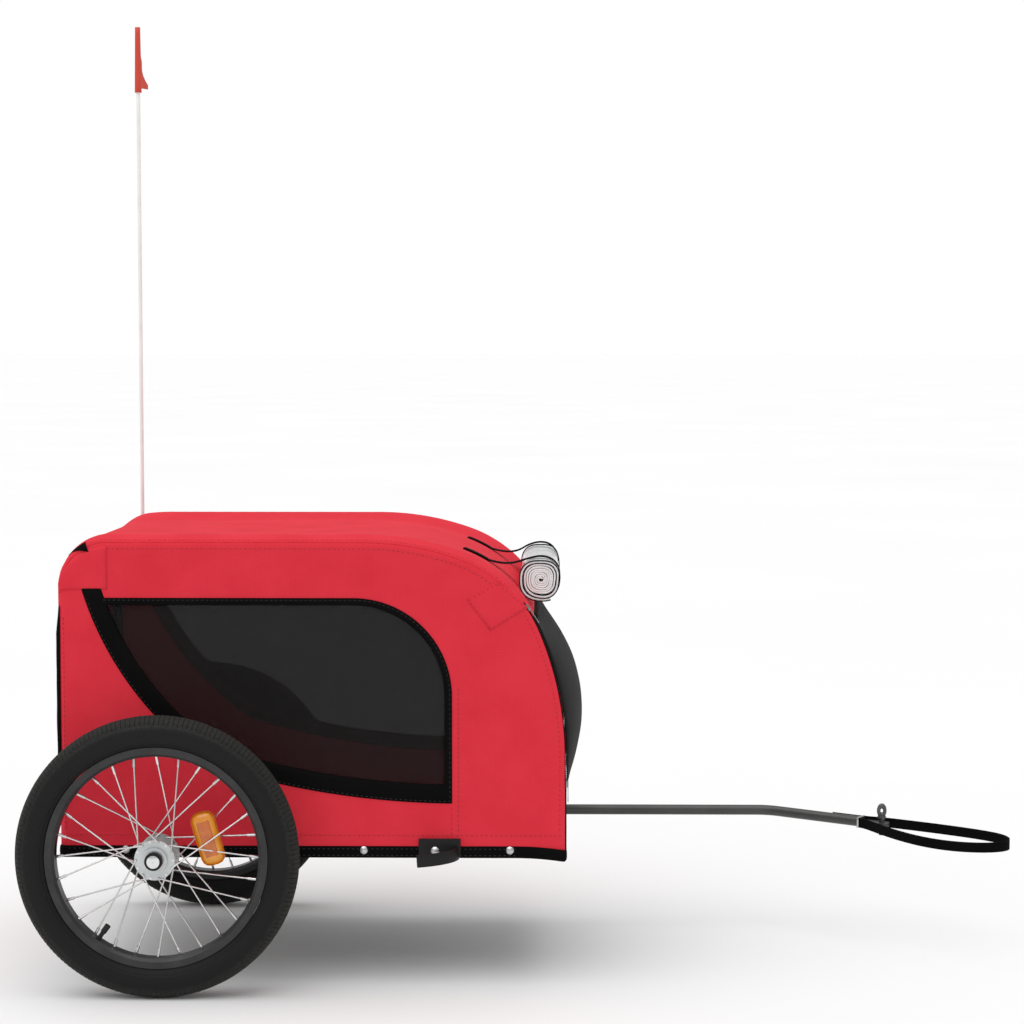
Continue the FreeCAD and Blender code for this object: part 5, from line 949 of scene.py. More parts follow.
def make_wall_seams(side_name, side):
    """Seams of the wall and of the diamond, the roof's felled edge, and the window border's stitches."""
    y, lift = across_roof(side * (HALF_WIDTH - SHOULDER + FELL_WIDTH))
    routes = [[on_wall(outline_at(length, -inset), side) for length in spread(low, high, 160)]
              for low, high, inset in OUTLINE_SEAMS]
    fell = spread(FELL_START, FELL_END, 220)
    routes.append([outline_place(length, y, lift + FELL_LIFT) for length in fell])
    routes += [straight_route(Vector(a), Vector(b), side, SEAM_LIFT, 40) for a, b in STRAIGHT_SEAMS]
    middle = sum(DIAMOND, Vector((0, 0))) / 4
    inset = [corner.lerp(middle, DIAMOND_SEAM_SHARE) for corner in DIAMOND]
    edges = zip(inset, inset[1:] + inset[:1])
    routes += [straight_route(a, b, side, DIAMOND_SEAM_LIFT, 20) for a, b in edges]
    beads(side_name + "_wall_stitches", routes, STITCH_PITCH, STITCH_SIZE, red_thread)
    border = [on_wall(p, side, BORDER_SEAM_LIFT) for p in window_loop(BORDER_SEAM, BORDER_SEAM)]
    beads(side_name + "_window_stitches", [border + border[:1]], STITCH_PITCH, STITCH_SIZE, black_thread)


# Hem bands

HEM_TOP, HEM_FOOT = HEM_HIGH.z - 0.0062, HEM_LOW.z
HEM_CORNER, HEM_WRAP, HEM_THICK = 0.006, 0.022, 0.0007
HEM_DROOP, DROOP_RUN, HEM_WAVE = 0.0055, 0.07, 0.0006
HEM_FOLD = [
    (HEM_TOP - 0.001, -0.0014), (HEM_TOP - 0.007, -0.0018), (HEM_FOOT + 0.002, -0.0016), (HEM_FOOT, 0.0002),
    (HEM_FOOT + 0.0022, 0.0019), (HEM_FOOT + 0.006, 0.0023), (HEM_TOP - 0.005, 0.0023),
    (HEM_TOP - 0.0015, 0.0018), (HEM_TOP, 0.0006),
]
HEM_SEAM_INSET, HEM_SEAM_LIFT = 0.0035, 0.0027


def hem_plan(side):
    """The hem's run in plan, from the rear face round the corner, along the side and round the front."""
    rear, front, flank = REAR_X + HEM_CORNER, FRONT_X - HEM_CORNER, HALF_WIDTH - HEM_CORNER
    turns = spread(0, math.pi / 2, 7)[1:]
    run = [(REAR_X, flank - HEM_WRAP * (1 - share)) for share in spread(0, 1, 6)]
    run += [(rear - HEM_CORNER * math.cos(a), flank + HEM_CORNER * math.sin(a)) for a in turns]
    run += [(x, HALF_WIDTH) for x in spread(rear, front, 150)[1:]]
    run += [(front + HEM_CORNER * math.sin(a), flank + HEM_CORNER * math.cos(a)) for a in turns]
    run += [(FRONT_X, flank - HEM_WRAP * share) for share in spread(0, 1, 6)[1:]]
    return [Vector((x, side * y)) for x, y in run]


def make_hem(side_name, side):
    """A tape folded over the wall's foot, with two rows of stitches, drooping at the front corner."""
    plan = hem_plan(side)
    along = [0.0]
    for a, b in zip(plan, plan[1:]):
        along.append(along[-1] + (b - a).length)

    def spot(edge, i):
        height, lift = edge
        way = (plan[min(i + 1, len(plan) - 1)] - plan[max(i - 1, 0)]).normalized()
        out = -side * Vector((way.y, -way.x))
        wave = HEM_WAVE * noise.noise(Vector((along[i] * 14, side, height * 20))) if lift > 0 else 0.0
        place = plan[i] + out * (lift + wave)
        share = min(1.0, max(0.0, (plan[i].x - FRONT_X + DROOP_RUN) / DROOP_RUN))
        return at(place.x, place.y, height - HEM_DROOP * share * share), (along[i], height)

    sew(side_name + "_hem_tape", grid(HEM_FOLD, range(len(plan)), spot), HEM_THICK, black_canvas,
        ["hem_bands"], (0.052, 0.80), hole_side=side)
    y = side * (HALF_WIDTH + HEM_SEAM_LIFT)
    run = spread(REAR_X + 0.01, FRONT_X - DROOP_RUN, 60)
    routes = [[at(x, y, z) for x in run] for z in (HEM_TOP - HEM_SEAM_INSET, HEM_FOOT + HEM_SEAM_INSET)]
    beads(side_name + "_hem_stitches", routes, STITCH_PITCH, STITCH_SIZE, black_thread)


# Zips and rear panel

REAR_DOOR_HALF, REAR_DOOR_TOP, REAR_DOOR_FOOT, REAR_DOOR_CORNER = 0.172, 0.545, 0.318, 0.036
REAR_ZIP, TAPE_WIDTH, TAPE_THICK = 0.009, 0.012, 0.0007
TAPE_LIFT, TEETH_LIFT, REAR_TAPE_LIFT, REAR_TEETH_LIFT = 0.0003, 0.0008, 0.0009, 0.0016
ZIP_START, TAPE_LAP = ROOF_END + 0.005, 0.0015
REAR_TAPE_IN, REAR_TAPE_OUT, REAR_TEETH_PLACE = -0.002, REAR_ZIP + 0.001, REAR_ZIP / 2 + 0.0006
REAR_TAPE_WEAVE = 0.006
OPENING_INSET, PANEL_HALF = 0.010, HALF_WIDTH - SHOULDER + 0.002
PANEL_FOOT, PANEL_TOP = CLOTH_FOOT_Z - 0.008, CLOTH_FOOT_Z + ROOF_START + 0.004
PANEL_LIFT, PANEL_SWELL, PANEL_TAUT = 0.0002, 0.0012, 0.2


def make_front_zip(side_name, side):
    """A zip tape beside the front door, with a row of teeth."""
    lengths = spread(ZIP_START, DOOR_FOOT, 90)
    widths = spread(ZIP_OUTER + TAPE_LAP, ZIP_INNER - ZIP_GAP, 5)
    spots = grid(widths, lengths,
                 lambda y, length: (outline_place(length, side * y, TAPE_LIFT), (length, y)))
    sew(side_name + "_front_zip_tape", spots, TAPE_THICK, black_webbing, ["zip_tapes"],
        (TAPE_WIDTH, DOOR_FOOT - ROOF_END))
    middle = side * (ZIP_OUTER + ZIP_INNER) / 2
    route = [outline_place(length, middle, TEETH_LIFT) for length in lengths]
    beads(side_name + "_front_zip_teeth", [route], TOOTH_PITCH, TOOTH_SIZE, black_moulding, "black_webbing")


def rear_door_run(grow):
    """The rear door's free edge seen from behind: down one side, across its foot and up the other."""
    half, foot, corner = REAR_DOOR_HALF + grow, REAR_DOOR_FOOT - grow, REAR_DOOR_CORNER + grow
    turns = [(corner * (1 - math.cos(a)), corner * (1 - math.sin(a))) for a in spread(0, math.pi / 2, 12)]
    run = [(-half, z) for z in spread(REAR_DOOR_TOP, foot + corner, 30)]
    run += [(-half + across, foot + rise) for across, rise in turns[1:]]
    run += [(y, foot) for y in spread(-half + corner, half - corner, 40)[1:]]
    run += [(half - across, foot + rise) for across, rise in reversed(turns[:-1])]
    run += [(half, z) for z in spread(foot + corner, REAR_DOOR_TOP, 30)[1:]]
    return [Vector(p) for p in run]


def make_rear_zip():
    """The zip tape round the rear door, with its teeth."""
    spots = []
    for grow in spread(REAR_TAPE_IN, REAR_TAPE_OUT, 5):
        run = enumerate(rear_door_run(grow))
        spots.append([(at(REAR_X - REAR_TAPE_LIFT, p.x, p.y), (i * REAR_TAPE_WEAVE, grow)) for i, p in run])
    sew("rear_zip_tape", spots, TAPE_THICK, black_webbing, ["zip_tapes"], (TAPE_WIDTH, 0.78))
    route = [at(REAR_X - REAR_TEETH_LIFT, p.x, p.y) for p in rear_door_run(REAR_TEETH_PLACE)]
    beads("rear_zip_teeth", [route], TOOTH_PITCH, TOOTH_SIZE, black_moulding, "black_webbing")


def make_rear_panel():
    """Red cloth round the rear opening, tucked under the walls' rolled edges."""
    head = REAR_DOOR_TOP - OPENING_INSET
    opening = rear_door_run(-OPENING_INSET)
    inner = [p for p in opening if p.y <= head]
    inner += [Vector((y, head)) for y in spread(opening[-1].x, opening[0].x, 40)[1:-1]]
    eye, half_height = Vector((0.0, (PANEL_FOOT + PANEL_TOP) / 2)), (PANEL_TOP - PANEL_FOOT) / 2
    outer = []
    for p in inner:
        way = p - eye
        scale = min(PANEL_HALF / max(abs(way.x), 1e-9), half_height / max(abs(way.y), 1e-9))
        outer.append(eye + way * scale)
    for corner in [Vector((y, z)) for y in (-PANEL_HALF, PANEL_HALF) for z in (PANEL_FOOT, PANEL_TOP)]:
        near = min(range(len(outer)), key=lambda i: (outer[i] - corner).length)
        outer[near] = corner

    def spot(share, edges):
        p = edges[0].lerp(edges[1], share)
        swell = PANEL_SWELL * min(1.0, min(share, 1 - share) / PANEL_TAUT) * sway(p.x, p.y, 51.0)
        return at(REAR_X - PANEL_LIFT - swell, p.x, p.y), (p.x, p.y)

    spots = grid(spread(0, 1, 14), list(zip(outer, inner)), spot)
    sew("rear_panel_cloth", spots, CLOTH, red_canvas, ["rear_panel"], (0.42, 0.38),
        ring=True)


REAR_DOOR_LIFT, REAR_DOOR_BELLY, REAR_DOOR_CREASE, REAR_DOOR_THICK = 0.0018, 0.0035, 0.0008, 0.0011


def make_rear_door():
    """A mesh flap that bellies a little between its sewn top and its zip."""
    height = REAR_DOOR_TOP - REAR_DOOR_FOOT

    def spot(z, share):
        drop = max(0.0, REAR_DOOR_FOOT + REAR_DOOR_CORNER - z)
        half = REAR_DOOR_HALF - REAR_DOOR_CORNER + math.sqrt(max(0.0, REAR_DOOR_CORNER ** 2 - drop ** 2))
        rise = (REAR_DOOR_TOP - z) / height
        full = (1 - abs(share) ** 4) * math.sin(math.pi * min(1.0, 0.12 + 0.88 * rise)) ** 0.5
        y = half * share
        crease = REAR_DOOR_CREASE * sway(y * 2, z * 2, 61.0)
        return at(REAR_X - REAR_DOOR_LIFT - full * (REAR_DOOR_BELLY + crease), y, z), (y, z)

    spots = grid(spread(REAR_DOOR_TOP, REAR_DOOR_FOOT, 40), spread(-1, 1, 56), spot)
    sew("rear_door_mesh", spots, REAR_DOOR_THICK, door_mesh, ["rear_door"], (2 * REAR_DOOR_HALF, height),
        body="rear_flap")


# Hoops inside the cloth

HOOP_RADIUS, HOOP_INSET, HOOP_END, HOOP_WALL = 0.008, 0.012, 0.012, 0.0012


def make_hoop(side_name, side):
    """A bent tube under the wall's rolled edge."""

    def spot(length, turn):
        y = side * (HALF_WIDTH - HOOP_INSET) + HOOP_RADIUS * math.sin(turn)
        return outline_place(length, y, -HOOP_INSET + HOOP_RADIUS * math.cos(turn)), (length, turn)

    turns = spread(0, 2 * math.pi, 17)[:-1] + [0.0]
    spots = grid(spread(HOOP_END, OUTLINE_END - HOOP_END, 150), turns, spot)
    hoop = sew(side_name + "_hoop_tube", spots, HOOP_WALL, black_tube, ["side_hoops"])
    finish_modifier(hoop, "WELD", merge_threshold=WELD_GAP)


# Rain cover, straps and flag

ROLL_CENTRE, ROLL_START, ROLL_CORE = Vector((0.5372, 0.5772)), -0.35 * math.pi, 0.0025
TIGHT_TURNS, LOOSE_TURNS = 5.6, 2.15
TIGHT_PITCH, LOOSE_PITCH = 0.0032, 0.0047
ROLL_SQUARE, ROLL_SQUARE_TURN, ROLL_SCALE, ROLL_SLACK = 2.6, 0.5, 0.945, 0.018
FILM_THICK, FILM_END, FILM_WEAVE = 0.0028, 0.0005, 0.016
EDGE_TAPE_LIFT, EDGE_TAPE_THICK, EDGE_TAPE_WEAVE = 0.0022, 0.0012, 0.02
EDGE_TAPE_STEPS = (0.0, 0.0015, 0.003, 0.0045, 0.006)


def spiral_at(turn, inner):
    """A point of the rolled cover's end: a spiral with flattened sides, tight inside and looser outside."""
    turns = turn / (2 * math.pi)
    radius = inner + TIGHT_PITCH * min(turns, TIGHT_TURNS) + LOOSE_PITCH * max(0.0, turns - TIGHT_TURNS)
    across, up = abs(math.cos(turn + ROLL_SQUARE_TURN)), abs(math.sin(turn + ROLL_SQUARE_TURN))
    square = (across ** ROLL_SQUARE + up ** ROLL_SQUARE) ** (-1 / ROLL_SQUARE)
    loose = 1 + 0.02 * math.sin(3 * turn + 0.7) + 0.015 * math.sin(1.37 * turn)
    return radius * ROLL_SCALE * square * loose * Vector((math.cos(turn), math.sin(turn)))


def make_rain_cover():
    """Clear film rolled up on the nose, with black tape bound on the ends of its outer turns."""
    total = 2 * math.pi * (TIGHT_TURNS + LOOSE_TURNS)
    sweep = [ROLL_START - total * (1 - share) for share in spread(0, 1, 420)]
    first = sweep[0]

    def film_place(angle, y, grow):
        p = spiral_at(angle - first, ROLL_CORE + grow)
        spun = Vector((p.x * math.cos(first) - p.y * math.sin(first),
                       p.x * math.sin(first) + p.y * math.cos(first)))
        place = ROLL_CENTRE + spun * (1 + ROLL_SLACK * noise.noise(Vector((angle * 0.7, y * 9, 3.0))))
        return at(place.x, y, place.y)

    half = ROLL_HALF - FILM_END
    spots = grid(spread(-half, half, 26), sweep, lambda y, a: (film_place(a, y, 0.0), (a * FILM_WEAVE, y)))
    sew("rain_cover_film", spots, FILM_THICK, clear_vinyl, ["rain_cover_roll"], (2 * ROLL_HALF, 0.66))
    bound = [angle for angle in sweep if angle > ROLL_START - 2 * math.pi * LOOSE_TURNS]
    for side_name, side in SIDES:
        widths = [side * (ROLL_HALF - step) for step in EDGE_TAPE_STEPS]
        spots = grid(widths, bound,
                     lambda y, a: (film_place(a, y, EDGE_TAPE_LIFT), (a * EDGE_TAPE_WEAVE, y)))
        sew(side_name + "_cover_edge_tape", spots, EDGE_TAPE_THICK, black_webbing, cut=(TAPE_WIDTH, 0.34))


STRAP_ROUTE = [
    (0.4240, 0.6195), (0.4420, 0.6115), (0.4580, 0.6030), (0.4740, 0.5985), (0.4900, 0.5970),
    (0.5040, 0.5995), (0.5190, 0.6045), (0.5370, 0.6088), (0.5535, 0.6050), (0.5640, 0.5940),
    (0.5664, 0.5775), (0.5638, 0.5608), (0.5535, 0.5478), (0.5390, 0.5438), (0.5270, 0.5448),
    (0.5195, 0.5490),
]
STRAP_CREST, STRAP_SLACK = range(6, 9), 0.0045
STRAP_SIDE, STRAP_HALF, STRAP_THICK = 0.100, 0.010, 0.0014
TAB_HALF, TAB_START, TAB_END, TAB_LIFT, TAB_THICK = 0.011, 0.1436, 0.181, 0.0032, 0.0022
TAB_WEAVE = 0.004


def make_roll_strap(side_name, side):
    """A webbing strap sewn to the roof round the rolled cover, with a doubled tab; the left is slacker."""
    middle = side * STRAP_SIDE
    slack = [STRAP_SLACK if side > 0 and i in STRAP_CREST else 0.0 for i in range(len(STRAP_ROUTE))]
    line = smooth_points([at(x, middle, z + rise) for (x, z), rise in zip(STRAP_ROUTE, slack)])
    spots, length = ribbon(line, Vector((0, 1, 0)), spread(-STRAP_HALF, STRAP_HALF, 5))
    sew(side_name + "_roll_strap", spots, STRAP_THICK, black_webbing, ["roll_straps"],
        (2 * STRAP_HALF, length))

    def tab_spot(w, step):
        i, along = step
        return outline_place(ROOF_ARC_START + along, middle + w, TAB_LIFT), (i * TAB_WEAVE, w)

    steps = list(enumerate(spread(TAB_START, TAB_END, 12)))
    sew(side_name + "_strap_tab", grid(spread(-TAB_HALF, TAB_HALF, 5), steps, tab_spot), TAB_THICK,
        black_webbing, cut=(2 * TAB_HALF, 0.038))


SAFETY_LOOP = [
    (0.9975, 0.1470, 0.0), (1.0120, 0.1370, 0.0), (1.0279, 0.1262, 0.0), (1.0443, 0.1150, 0.0),
    (1.0740, 0.1030, 0.0), (1.1130, 0.0830, -0.001), (1.1600, 0.0560, -0.002), (1.2050, 0.0260, -0.003),
    (1.2360, -0.0020, -0.004), (1.2435, -0.0330, -0.005), (1.2300, -0.0520, -0.006),
    (1.1950, -0.0610, -0.006), (1.1500, -0.0490, -0.006), (1.1090, -0.0180, -0.005),
    (1.0740, 0.0290, -0.003), (1.0500, 0.0740, -0.001), (1.0385, 0.0945, 0.0), (1.0306, 0.1017, 0.0),
]
STRAP_MIDDLE = (STRAP_LOW.z + STRAP_HIGH.z) / 2
SAFETY_THICK = 0.0019


def make_safety_strap():
    """A webbing loop on edge, both ends held at the tow bar's end, its free bend sagging a little."""
    half = (STRAP_HIGH.z - STRAP_LOW.z) / 2
    line = smooth_points([at(x, y, STRAP_MIDDLE + drop) for x, y, drop in SAFETY_LOOP], 14)
    spots, length = ribbon(line, Vector((0, 0, 1)), spread(-half, half, 5))
    sew("safety_strap_webbing", spots, SAFETY_THICK, black_webbing, ["safety_strap"], (2 * half, length),
        "tow_arm")


PENNANT_TAPER, PENNANT_DROP, PENNANT_LIMP, PENNANT_REACH = 0.93, 0.031, 0.0166, 0.955
PENNANT_FOLD, FOLD_BELOW_TOP, FOLD_WIDTH = 0.0065, 0.040, 0.013
SLEEVE_RADIUS, SLEEVE_TAPER, SLEEVE_OVER, SLEEVE_WEAVE = 0.0052, 0.0014, 0.001, 0.0016
FLAG_GAP, FLAG_THICK = 0.0042, 0.0006


def make_pennant():
    """A small nylon pennant that streams away from the viewer, with a sleeve round its pole."""
    pole = Vector(((POLE_LOW.x + POLE_HIGH.x) / 2 - AXLE_X, (POLE_LOW.y + POLE_HIGH.y) / 2))
    foot, top = PENNANT_LOW.z, PENNANT_HIGH.z
    fly, hoist = PENNANT_HIGH.y - pole.y, top - foot

    def flag_spot(share, rise):
        offset = hoist / 2 * (1 - PENNANT_TAPER * share) * rise
        height = (top + foot) / 2 - PENNANT_DROP * share ** 1.5 + offset
        limp = -PENNANT_LIMP * share * (1 - share ** 3)
        fold = PENNANT_FOLD * share * math.exp(-((height - top + FOLD_BELOW_TOP) / FOLD_WIDTH) ** 2)
        y = pole.y + FLAG_GAP + fly * share * PENNANT_REACH
        return at(pole.x + limp + fold, y, height), (fly * share, offset)

    def sleeve_spot(share, step):
        i, turn = step
        radius = SLEEVE_RADIUS - SLEEVE_TAPER * share
        height = foot + (POLE_HIGH.z + SLEEVE_OVER - foot) * share
        place = at(pole.x + radius * math.cos(turn), pole.y + radius * math.sin(turn), height)
        return place, (i * SLEEVE_WEAVE, foot + hoist * share)

    sew("pennant_cloth", grid(spread(0, 1, 34), spread(-1, 1, 16), flag_spot), FLAG_THICK, flag_cloth,
        ["flag_pennant"], (fly, hoist), "flag")
    turns = list(enumerate(spread(0, 2 * math.pi, 17)[:-1]))
    sew("pennant_sleeve", grid(spread(0, 1, 12), turns, sleeve_spot), FLAG_THICK, flag_cloth,
        cut=(0.027, hoist), body="flag", ring=True)


# Tyres and reflectors

TREAD_DEPTH, TREAD_GAP, TYRE_WALL = 0.0012, 0.0006, 0.003
BEAD_TURN, TREAD_TURN, TREAD_EDGE = math.radians(33), math.radians(56), math.radians(32)
REFLECTOR_TILT = math.radians(16.0)


def make_tyre(side_name, side):
    """A slick-walled tyre: an open section spun round the axle, with small raised blocks on its tread."""
    section = (TYRE_HIGH.y - TYRE_LOW.y) / 2
    core = TYRE_HIGH.z - AXLE_Z - TREAD_DEPTH - section
    centre = at(0, side * TRACK, AXLE_Z)
    bpy.ops.object.select_all(action="DESELECT")
    bpy.ops.mesh.primitive_circle_add(vertices=60, radius=section, location=centre + Vector((0, 0, core)),
                                      rotation=(0, math.pi / 2, 0))
    tyre = bpy.context.object
    tyre.name = side_name + "_tyre_rubber"
    settle()
    bead = centre.z + core - section * math.cos(BEAD_TURN)
    choose(tyre, "vertices", lambda vertex: vertex.co.z < bead)
    bpy.ops.mesh.delete(type="VERT")
    bpy.ops.mesh.select_all(action="SELECT")
    bpy.ops.mesh.spin(steps=180, angle=2 * math.pi, center=centre, axis=(0, 1, 0))
    bpy.ops.mesh.select_all(action="SELECT")
    bpy.ops.mesh.remove_doubles(threshold=WELD_GAP)
    bpy.ops.mesh.normals_make_consistent(inside=False)

    def on_tread(face):
        arm = face.center - centre
        return math.hypot(arm.x, arm.z) - core > section * math.cos(TREAD_TURN)

    choose(tyre, "polygons", on_tread)
    bpy.ops.mesh.inset(thickness=TREAD_GAP, depth=TREAD_DEPTH, use_individual=True)
    bpy.ops.object.mode_set(mode="OBJECT")
    finish_modifier(tyre, "SOLIDIFY", thickness=TYRE_WALL, offset=-1.0)
    bpy.ops.object.select_all(action="DESELECT")
    tyre.select_set(True)
    bpy.ops.object.shade_smooth_by_angle(angle=TREAD_EDGE)
    dress(tyre, side_name + "_wheel", tyre_rubber, [side_name + "_tyre"])


def block(place, size, rotation=(0, 0, 0)):
    """A box to start a solid piece from."""
    bpy.ops.object.select_all(action="DESELECT")
    bpy.ops.mesh.primitive_cube_add(size=1.0, location=place, rotation=rotation, scale=size)
    return bpy.context.object


def make_reflector(side_name, side):
    """A spoke reflector: a long plate with rounded corners, and a raised field of prisms on both faces."""
    low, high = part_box(side_name + "_wheel_reflector")
    centre = (low + high) / 2
    thick = high.y - low.y
    for name, width, length, depth, corner, rim, finish in (
            ("_reflector_body", 0.034, 0.077, thick, 0.012, 0.0012, amber_lens),
            ("_reflector_prisms", 0.019, 0.054, thick + 0.0012, 0.003, 0.0003, amber_prisms)):
        piece = block(centre, (width, depth * 0.55, length))
        piece.name = side_name + name
        settle()

        def runs_through(edge):
            a, b = (piece.data.vertices[i].co for i in edge.vertices)
            return abs(a.y - b.y) > depth * 0.3

        choose(piece, "edges", runs_through)
        bpy.ops.mesh.bevel(offset=corner, segments=3, affect="EDGES")
        bpy.ops.mesh.select_all(action="SELECT")
        bpy.ops.transform.rotate(value=-REFLECTOR_TILT * side, orient_axis="Y", center_override=centre)
        bpy.ops.object.mode_set(mode="OBJECT")
        soften(piece, rim, 3)
        dress(piece, side_name + "_wheel", finish, [side_name + "_wheel_reflector"])


# Hitch, guards, sliders and springs

# Each slider: its body, its node and its lean in degrees
SLIDERS = (
    ("right_lower_slider", "right_front_zip_slider", 0.0),
    ("left_lower_slider", "left_front_zip_slider", 0.0),
    ("right_upper_slider", "right_upper_zip_slider", -31.8),
    ("left_upper_slider", "left_upper_zip_slider", -31.8),
    ("rear_slider", "rear_zip_slider", 0.0),
)
# Parts of a slider: distance below its top, distance out, and size
SLIDER_PARTS = (
    (0.0055, 0.0, (0.0034, 0.0075, 0.0100)), (0.0055, 0.0019, (0.0016, 0.0024, 0.0080)),
    (0.0190, 0.0020, (0.0010, 0.0034, 0.0190)), (0.0290, 0.0020, (0.0012, 0.0048, 0.0060)),
)
EYE_DROP, EYE_RADIUS, EYE_WIRE, EYE_STRETCH = 0.0095, 0.0048, 0.0028, 1.5
PIN_RADIUS, PIN_TOP_DROP = 0.0042, 0.017
COLLAR_RADIUS, COLLAR_TOP_DROP, COLLAR_FOOT_DROP = 0.0066, 0.018, 0.0225
BAR_END, BAR_TURN = Vector((1.0391, 0.1070)), math.radians(34.6)
CLIP_BACK, CLIP_SIZE = 0.0030, (0.0034, 0.0228, 0.0168)
RIVET_BACK, RIVET_RADIUS, RIVET_LENGTH = 0.014, 0.0028, 0.0160
GUARD_REAR, GUARD_FRONT, GUARD_REACH = 0.3635, 0.4235, 0.042
GUARD_FOOT, GUARD_TOP, GUARD_LIP = 0.1850, 0.2125, 0.0180
GUARD_LIFT, GUARD_PLATE, GUARD_WALL = 0.0034, 0.0024, 0.0026
LIP_DROP, LIP_INSET, LIP_TILT = 0.0055, 0.003, math.radians(4)
SPRING_FOOT, SPRING_TOP, SPRING_RADIUS, SPRING_COILS = 0.2914, 0.3071, 0.0024, 8
SPRING_WIRE, BUTTON_TRAVEL = 0.0004, 0.003


def make_hitch_pin():
    """A stout drop pin with a collar and an eye to pull it by."""
    low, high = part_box("hitch_pin")
    spot = (low + high) / 2
    bpy.ops.object.select_all(action="DESELECT")
    bpy.ops.mesh.primitive_torus_add(major_radius=EYE_RADIUS, minor_radius=EYE_WIRE, major_segments=40,
                                     minor_segments=16, location=(spot.x, spot.y, high.z - EYE_DROP),
                                     rotation=(math.pi / 2, 0, 0))
    eye = bpy.context.object
    eye.scale = (1.0, EYE_STRETCH, 1.0)
    parts = [eye]
    for radius, foot, top in (
            (PIN_RADIUS, low.z, high.z - PIN_TOP_DROP),
            (COLLAR_RADIUS, high.z - COLLAR_FOOT_DROP, high.z - COLLAR_TOP_DROP)):
        bpy.ops.mesh.primitive_cylinder_add(vertices=40, radius=radius, depth=top - foot,
                                            location=(spot.x, spot.y, (foot + top) / 2))
        parts.append(bpy.context.object)
    pin = join_parts(parts, "hitch_pin_steel")
    soften(pin, width=0.0005)
    dress(pin, "pull_pin", dark_steel, ["hitch_pin"])


def make_strap_clip():
    """A folded steel clip that clamps the safety strap to the tow bar's end, and the rivet behind it."""

    def behind_end(back):
        return at(BAR_END.x - back * math.cos(BAR_TURN), BAR_END.y + back * math.sin(BAR_TURN), STRAP_MIDDLE)

    clip = block(behind_end(CLIP_BACK), CLIP_SIZE, (0, 0, -BAR_TURN))
    clip.name = "strap_clip"
    soften(clip, width=0.0007)
    dress(clip, "tow_arm", zinc_steel, ["strap_rivet"])
    bpy.ops.object.select_all(action="DESELECT")
    bpy.ops.mesh.primitive_cylinder_add(vertices=24, radius=RIVET_RADIUS, depth=RIVET_LENGTH,
                                        location=behind_end(RIVET_BACK),
                                        rotation=(math.pi / 2, 0, -BAR_TURN))
    rivet = bpy.context.object
    rivet.name = "bar_cross_rivet"
    soften(rivet, width=0.0003)
    dress(rivet, "tow_arm", grey_tube, ["strap_rivet"])


def make_guard(side_name, side):
    """A moulded finger guard: a plate on the hem with a curved lip that stands out from it."""
    length = GUARD_FRONT - GUARD_REAR
    radius = length - LIP_INSET
    y = side * (HALF_WIDTH + GUARD_LIFT)
    plate = block(at((GUARD_REAR + GUARD_FRONT) / 2, y, (GUARD_FOOT + GUARD_TOP) / 2),
                  (length, GUARD_PLATE, GUARD_TOP - GUARD_FOOT))
    root = at(GUARD_REAR, y, GUARD_FOOT - LIP_DROP)
    bpy.ops.mesh.primitive_circle_add(vertices=96, radius=radius, location=root)
    lip = bpy.context.object
    settle()

    def off_quarter(vertex):
        return vertex.co.x < root.x - 0.0001 or side * (vertex.co.y - root.y) < -0.0001

    choose(lip, "vertices", off_quarter)
    bpy.ops.mesh.delete(type="VERT")
    bpy.ops.mesh.select_all(action="SELECT")
    bpy.ops.transform.resize(value=(1, GUARD_REACH / radius, 1), center_override=root)
    bpy.ops.mesh.extrude_region_move(TRANSFORM_OT_translate={"value": (0, 0, GUARD_LIP)})
    bpy.ops.mesh.select_all(action="SELECT")
    bpy.ops.transform.rotate(value=LIP_TILT, orient_axis="Y", center_override=root)
    bpy.ops.object.mode_set(mode="OBJECT")
    finish_modifier(lip, "SOLIDIFY", thickness=GUARD_WALL, offset=0.0)
    guard = join_parts([plate, lip], side_name + "_guard_moulding")
    soften(guard, width=0.0006)
    dress(guard, "trailer", black_moulding, ["side_guards"])


def make_slider(body, node, tilt):
    """A zip slider: a body with a bridge, and a thin pull with a wider end."""
    low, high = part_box(node)
    middle = (low + high) / 2
    lean = math.radians(tilt)
    up = Vector((math.sin(lean), 0, math.cos(lean)))
    out = Vector((math.cos(lean), 0, -math.sin(lean))) * (-1 if middle.x < AXLE_X else 1)
    half = (high.z - low.z) / 2 / math.cos(lean) - 0.001
    parts = [block(middle + up * (half - below) + out * lift, size, (0, lean, 0))
             for below, lift, size in SLIDER_PARTS]
    slider = join_parts(parts, node + "_casting")
    soften(slider, width=0.0004)
    dress(slider, body, dull_nickel, [node])


def make_button_spring(side_name, side):
    """A coil spring inside the axle, for its release button."""
    length = SPRING_TOP - SPRING_FOOT - 2 * SPRING_WIRE
    bpy.ops.object.select_all(action="DESELECT")
    bpy.ops.mesh.primitive_circle_add(vertices=10, radius=SPRING_WIRE,
                                      location=at(0, side * (SPRING_FOOT + SPRING_WIRE), AXLE_Z))
    spring = bpy.context.object
    spring.name = side_name + "_button_coil"
    bpy.ops.object.mode_set(mode="EDIT")
    bpy.ops.transform.translate(value=(SPRING_RADIUS, 0, 0))
    bpy.ops.object.mode_set(mode="OBJECT")
    finish_modifier(spring, "SCREW", axis="Y", angle=2 * math.pi, iterations=SPRING_COILS, steps=20,
                    render_steps=20, screw_offset=side * length / SPRING_COILS)
    settle()
    bpy.ops.object.shade_smooth()
    dress(spring, "trailer", spoke_steel, ["button_springs"])
    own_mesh(spring)


# Small trim

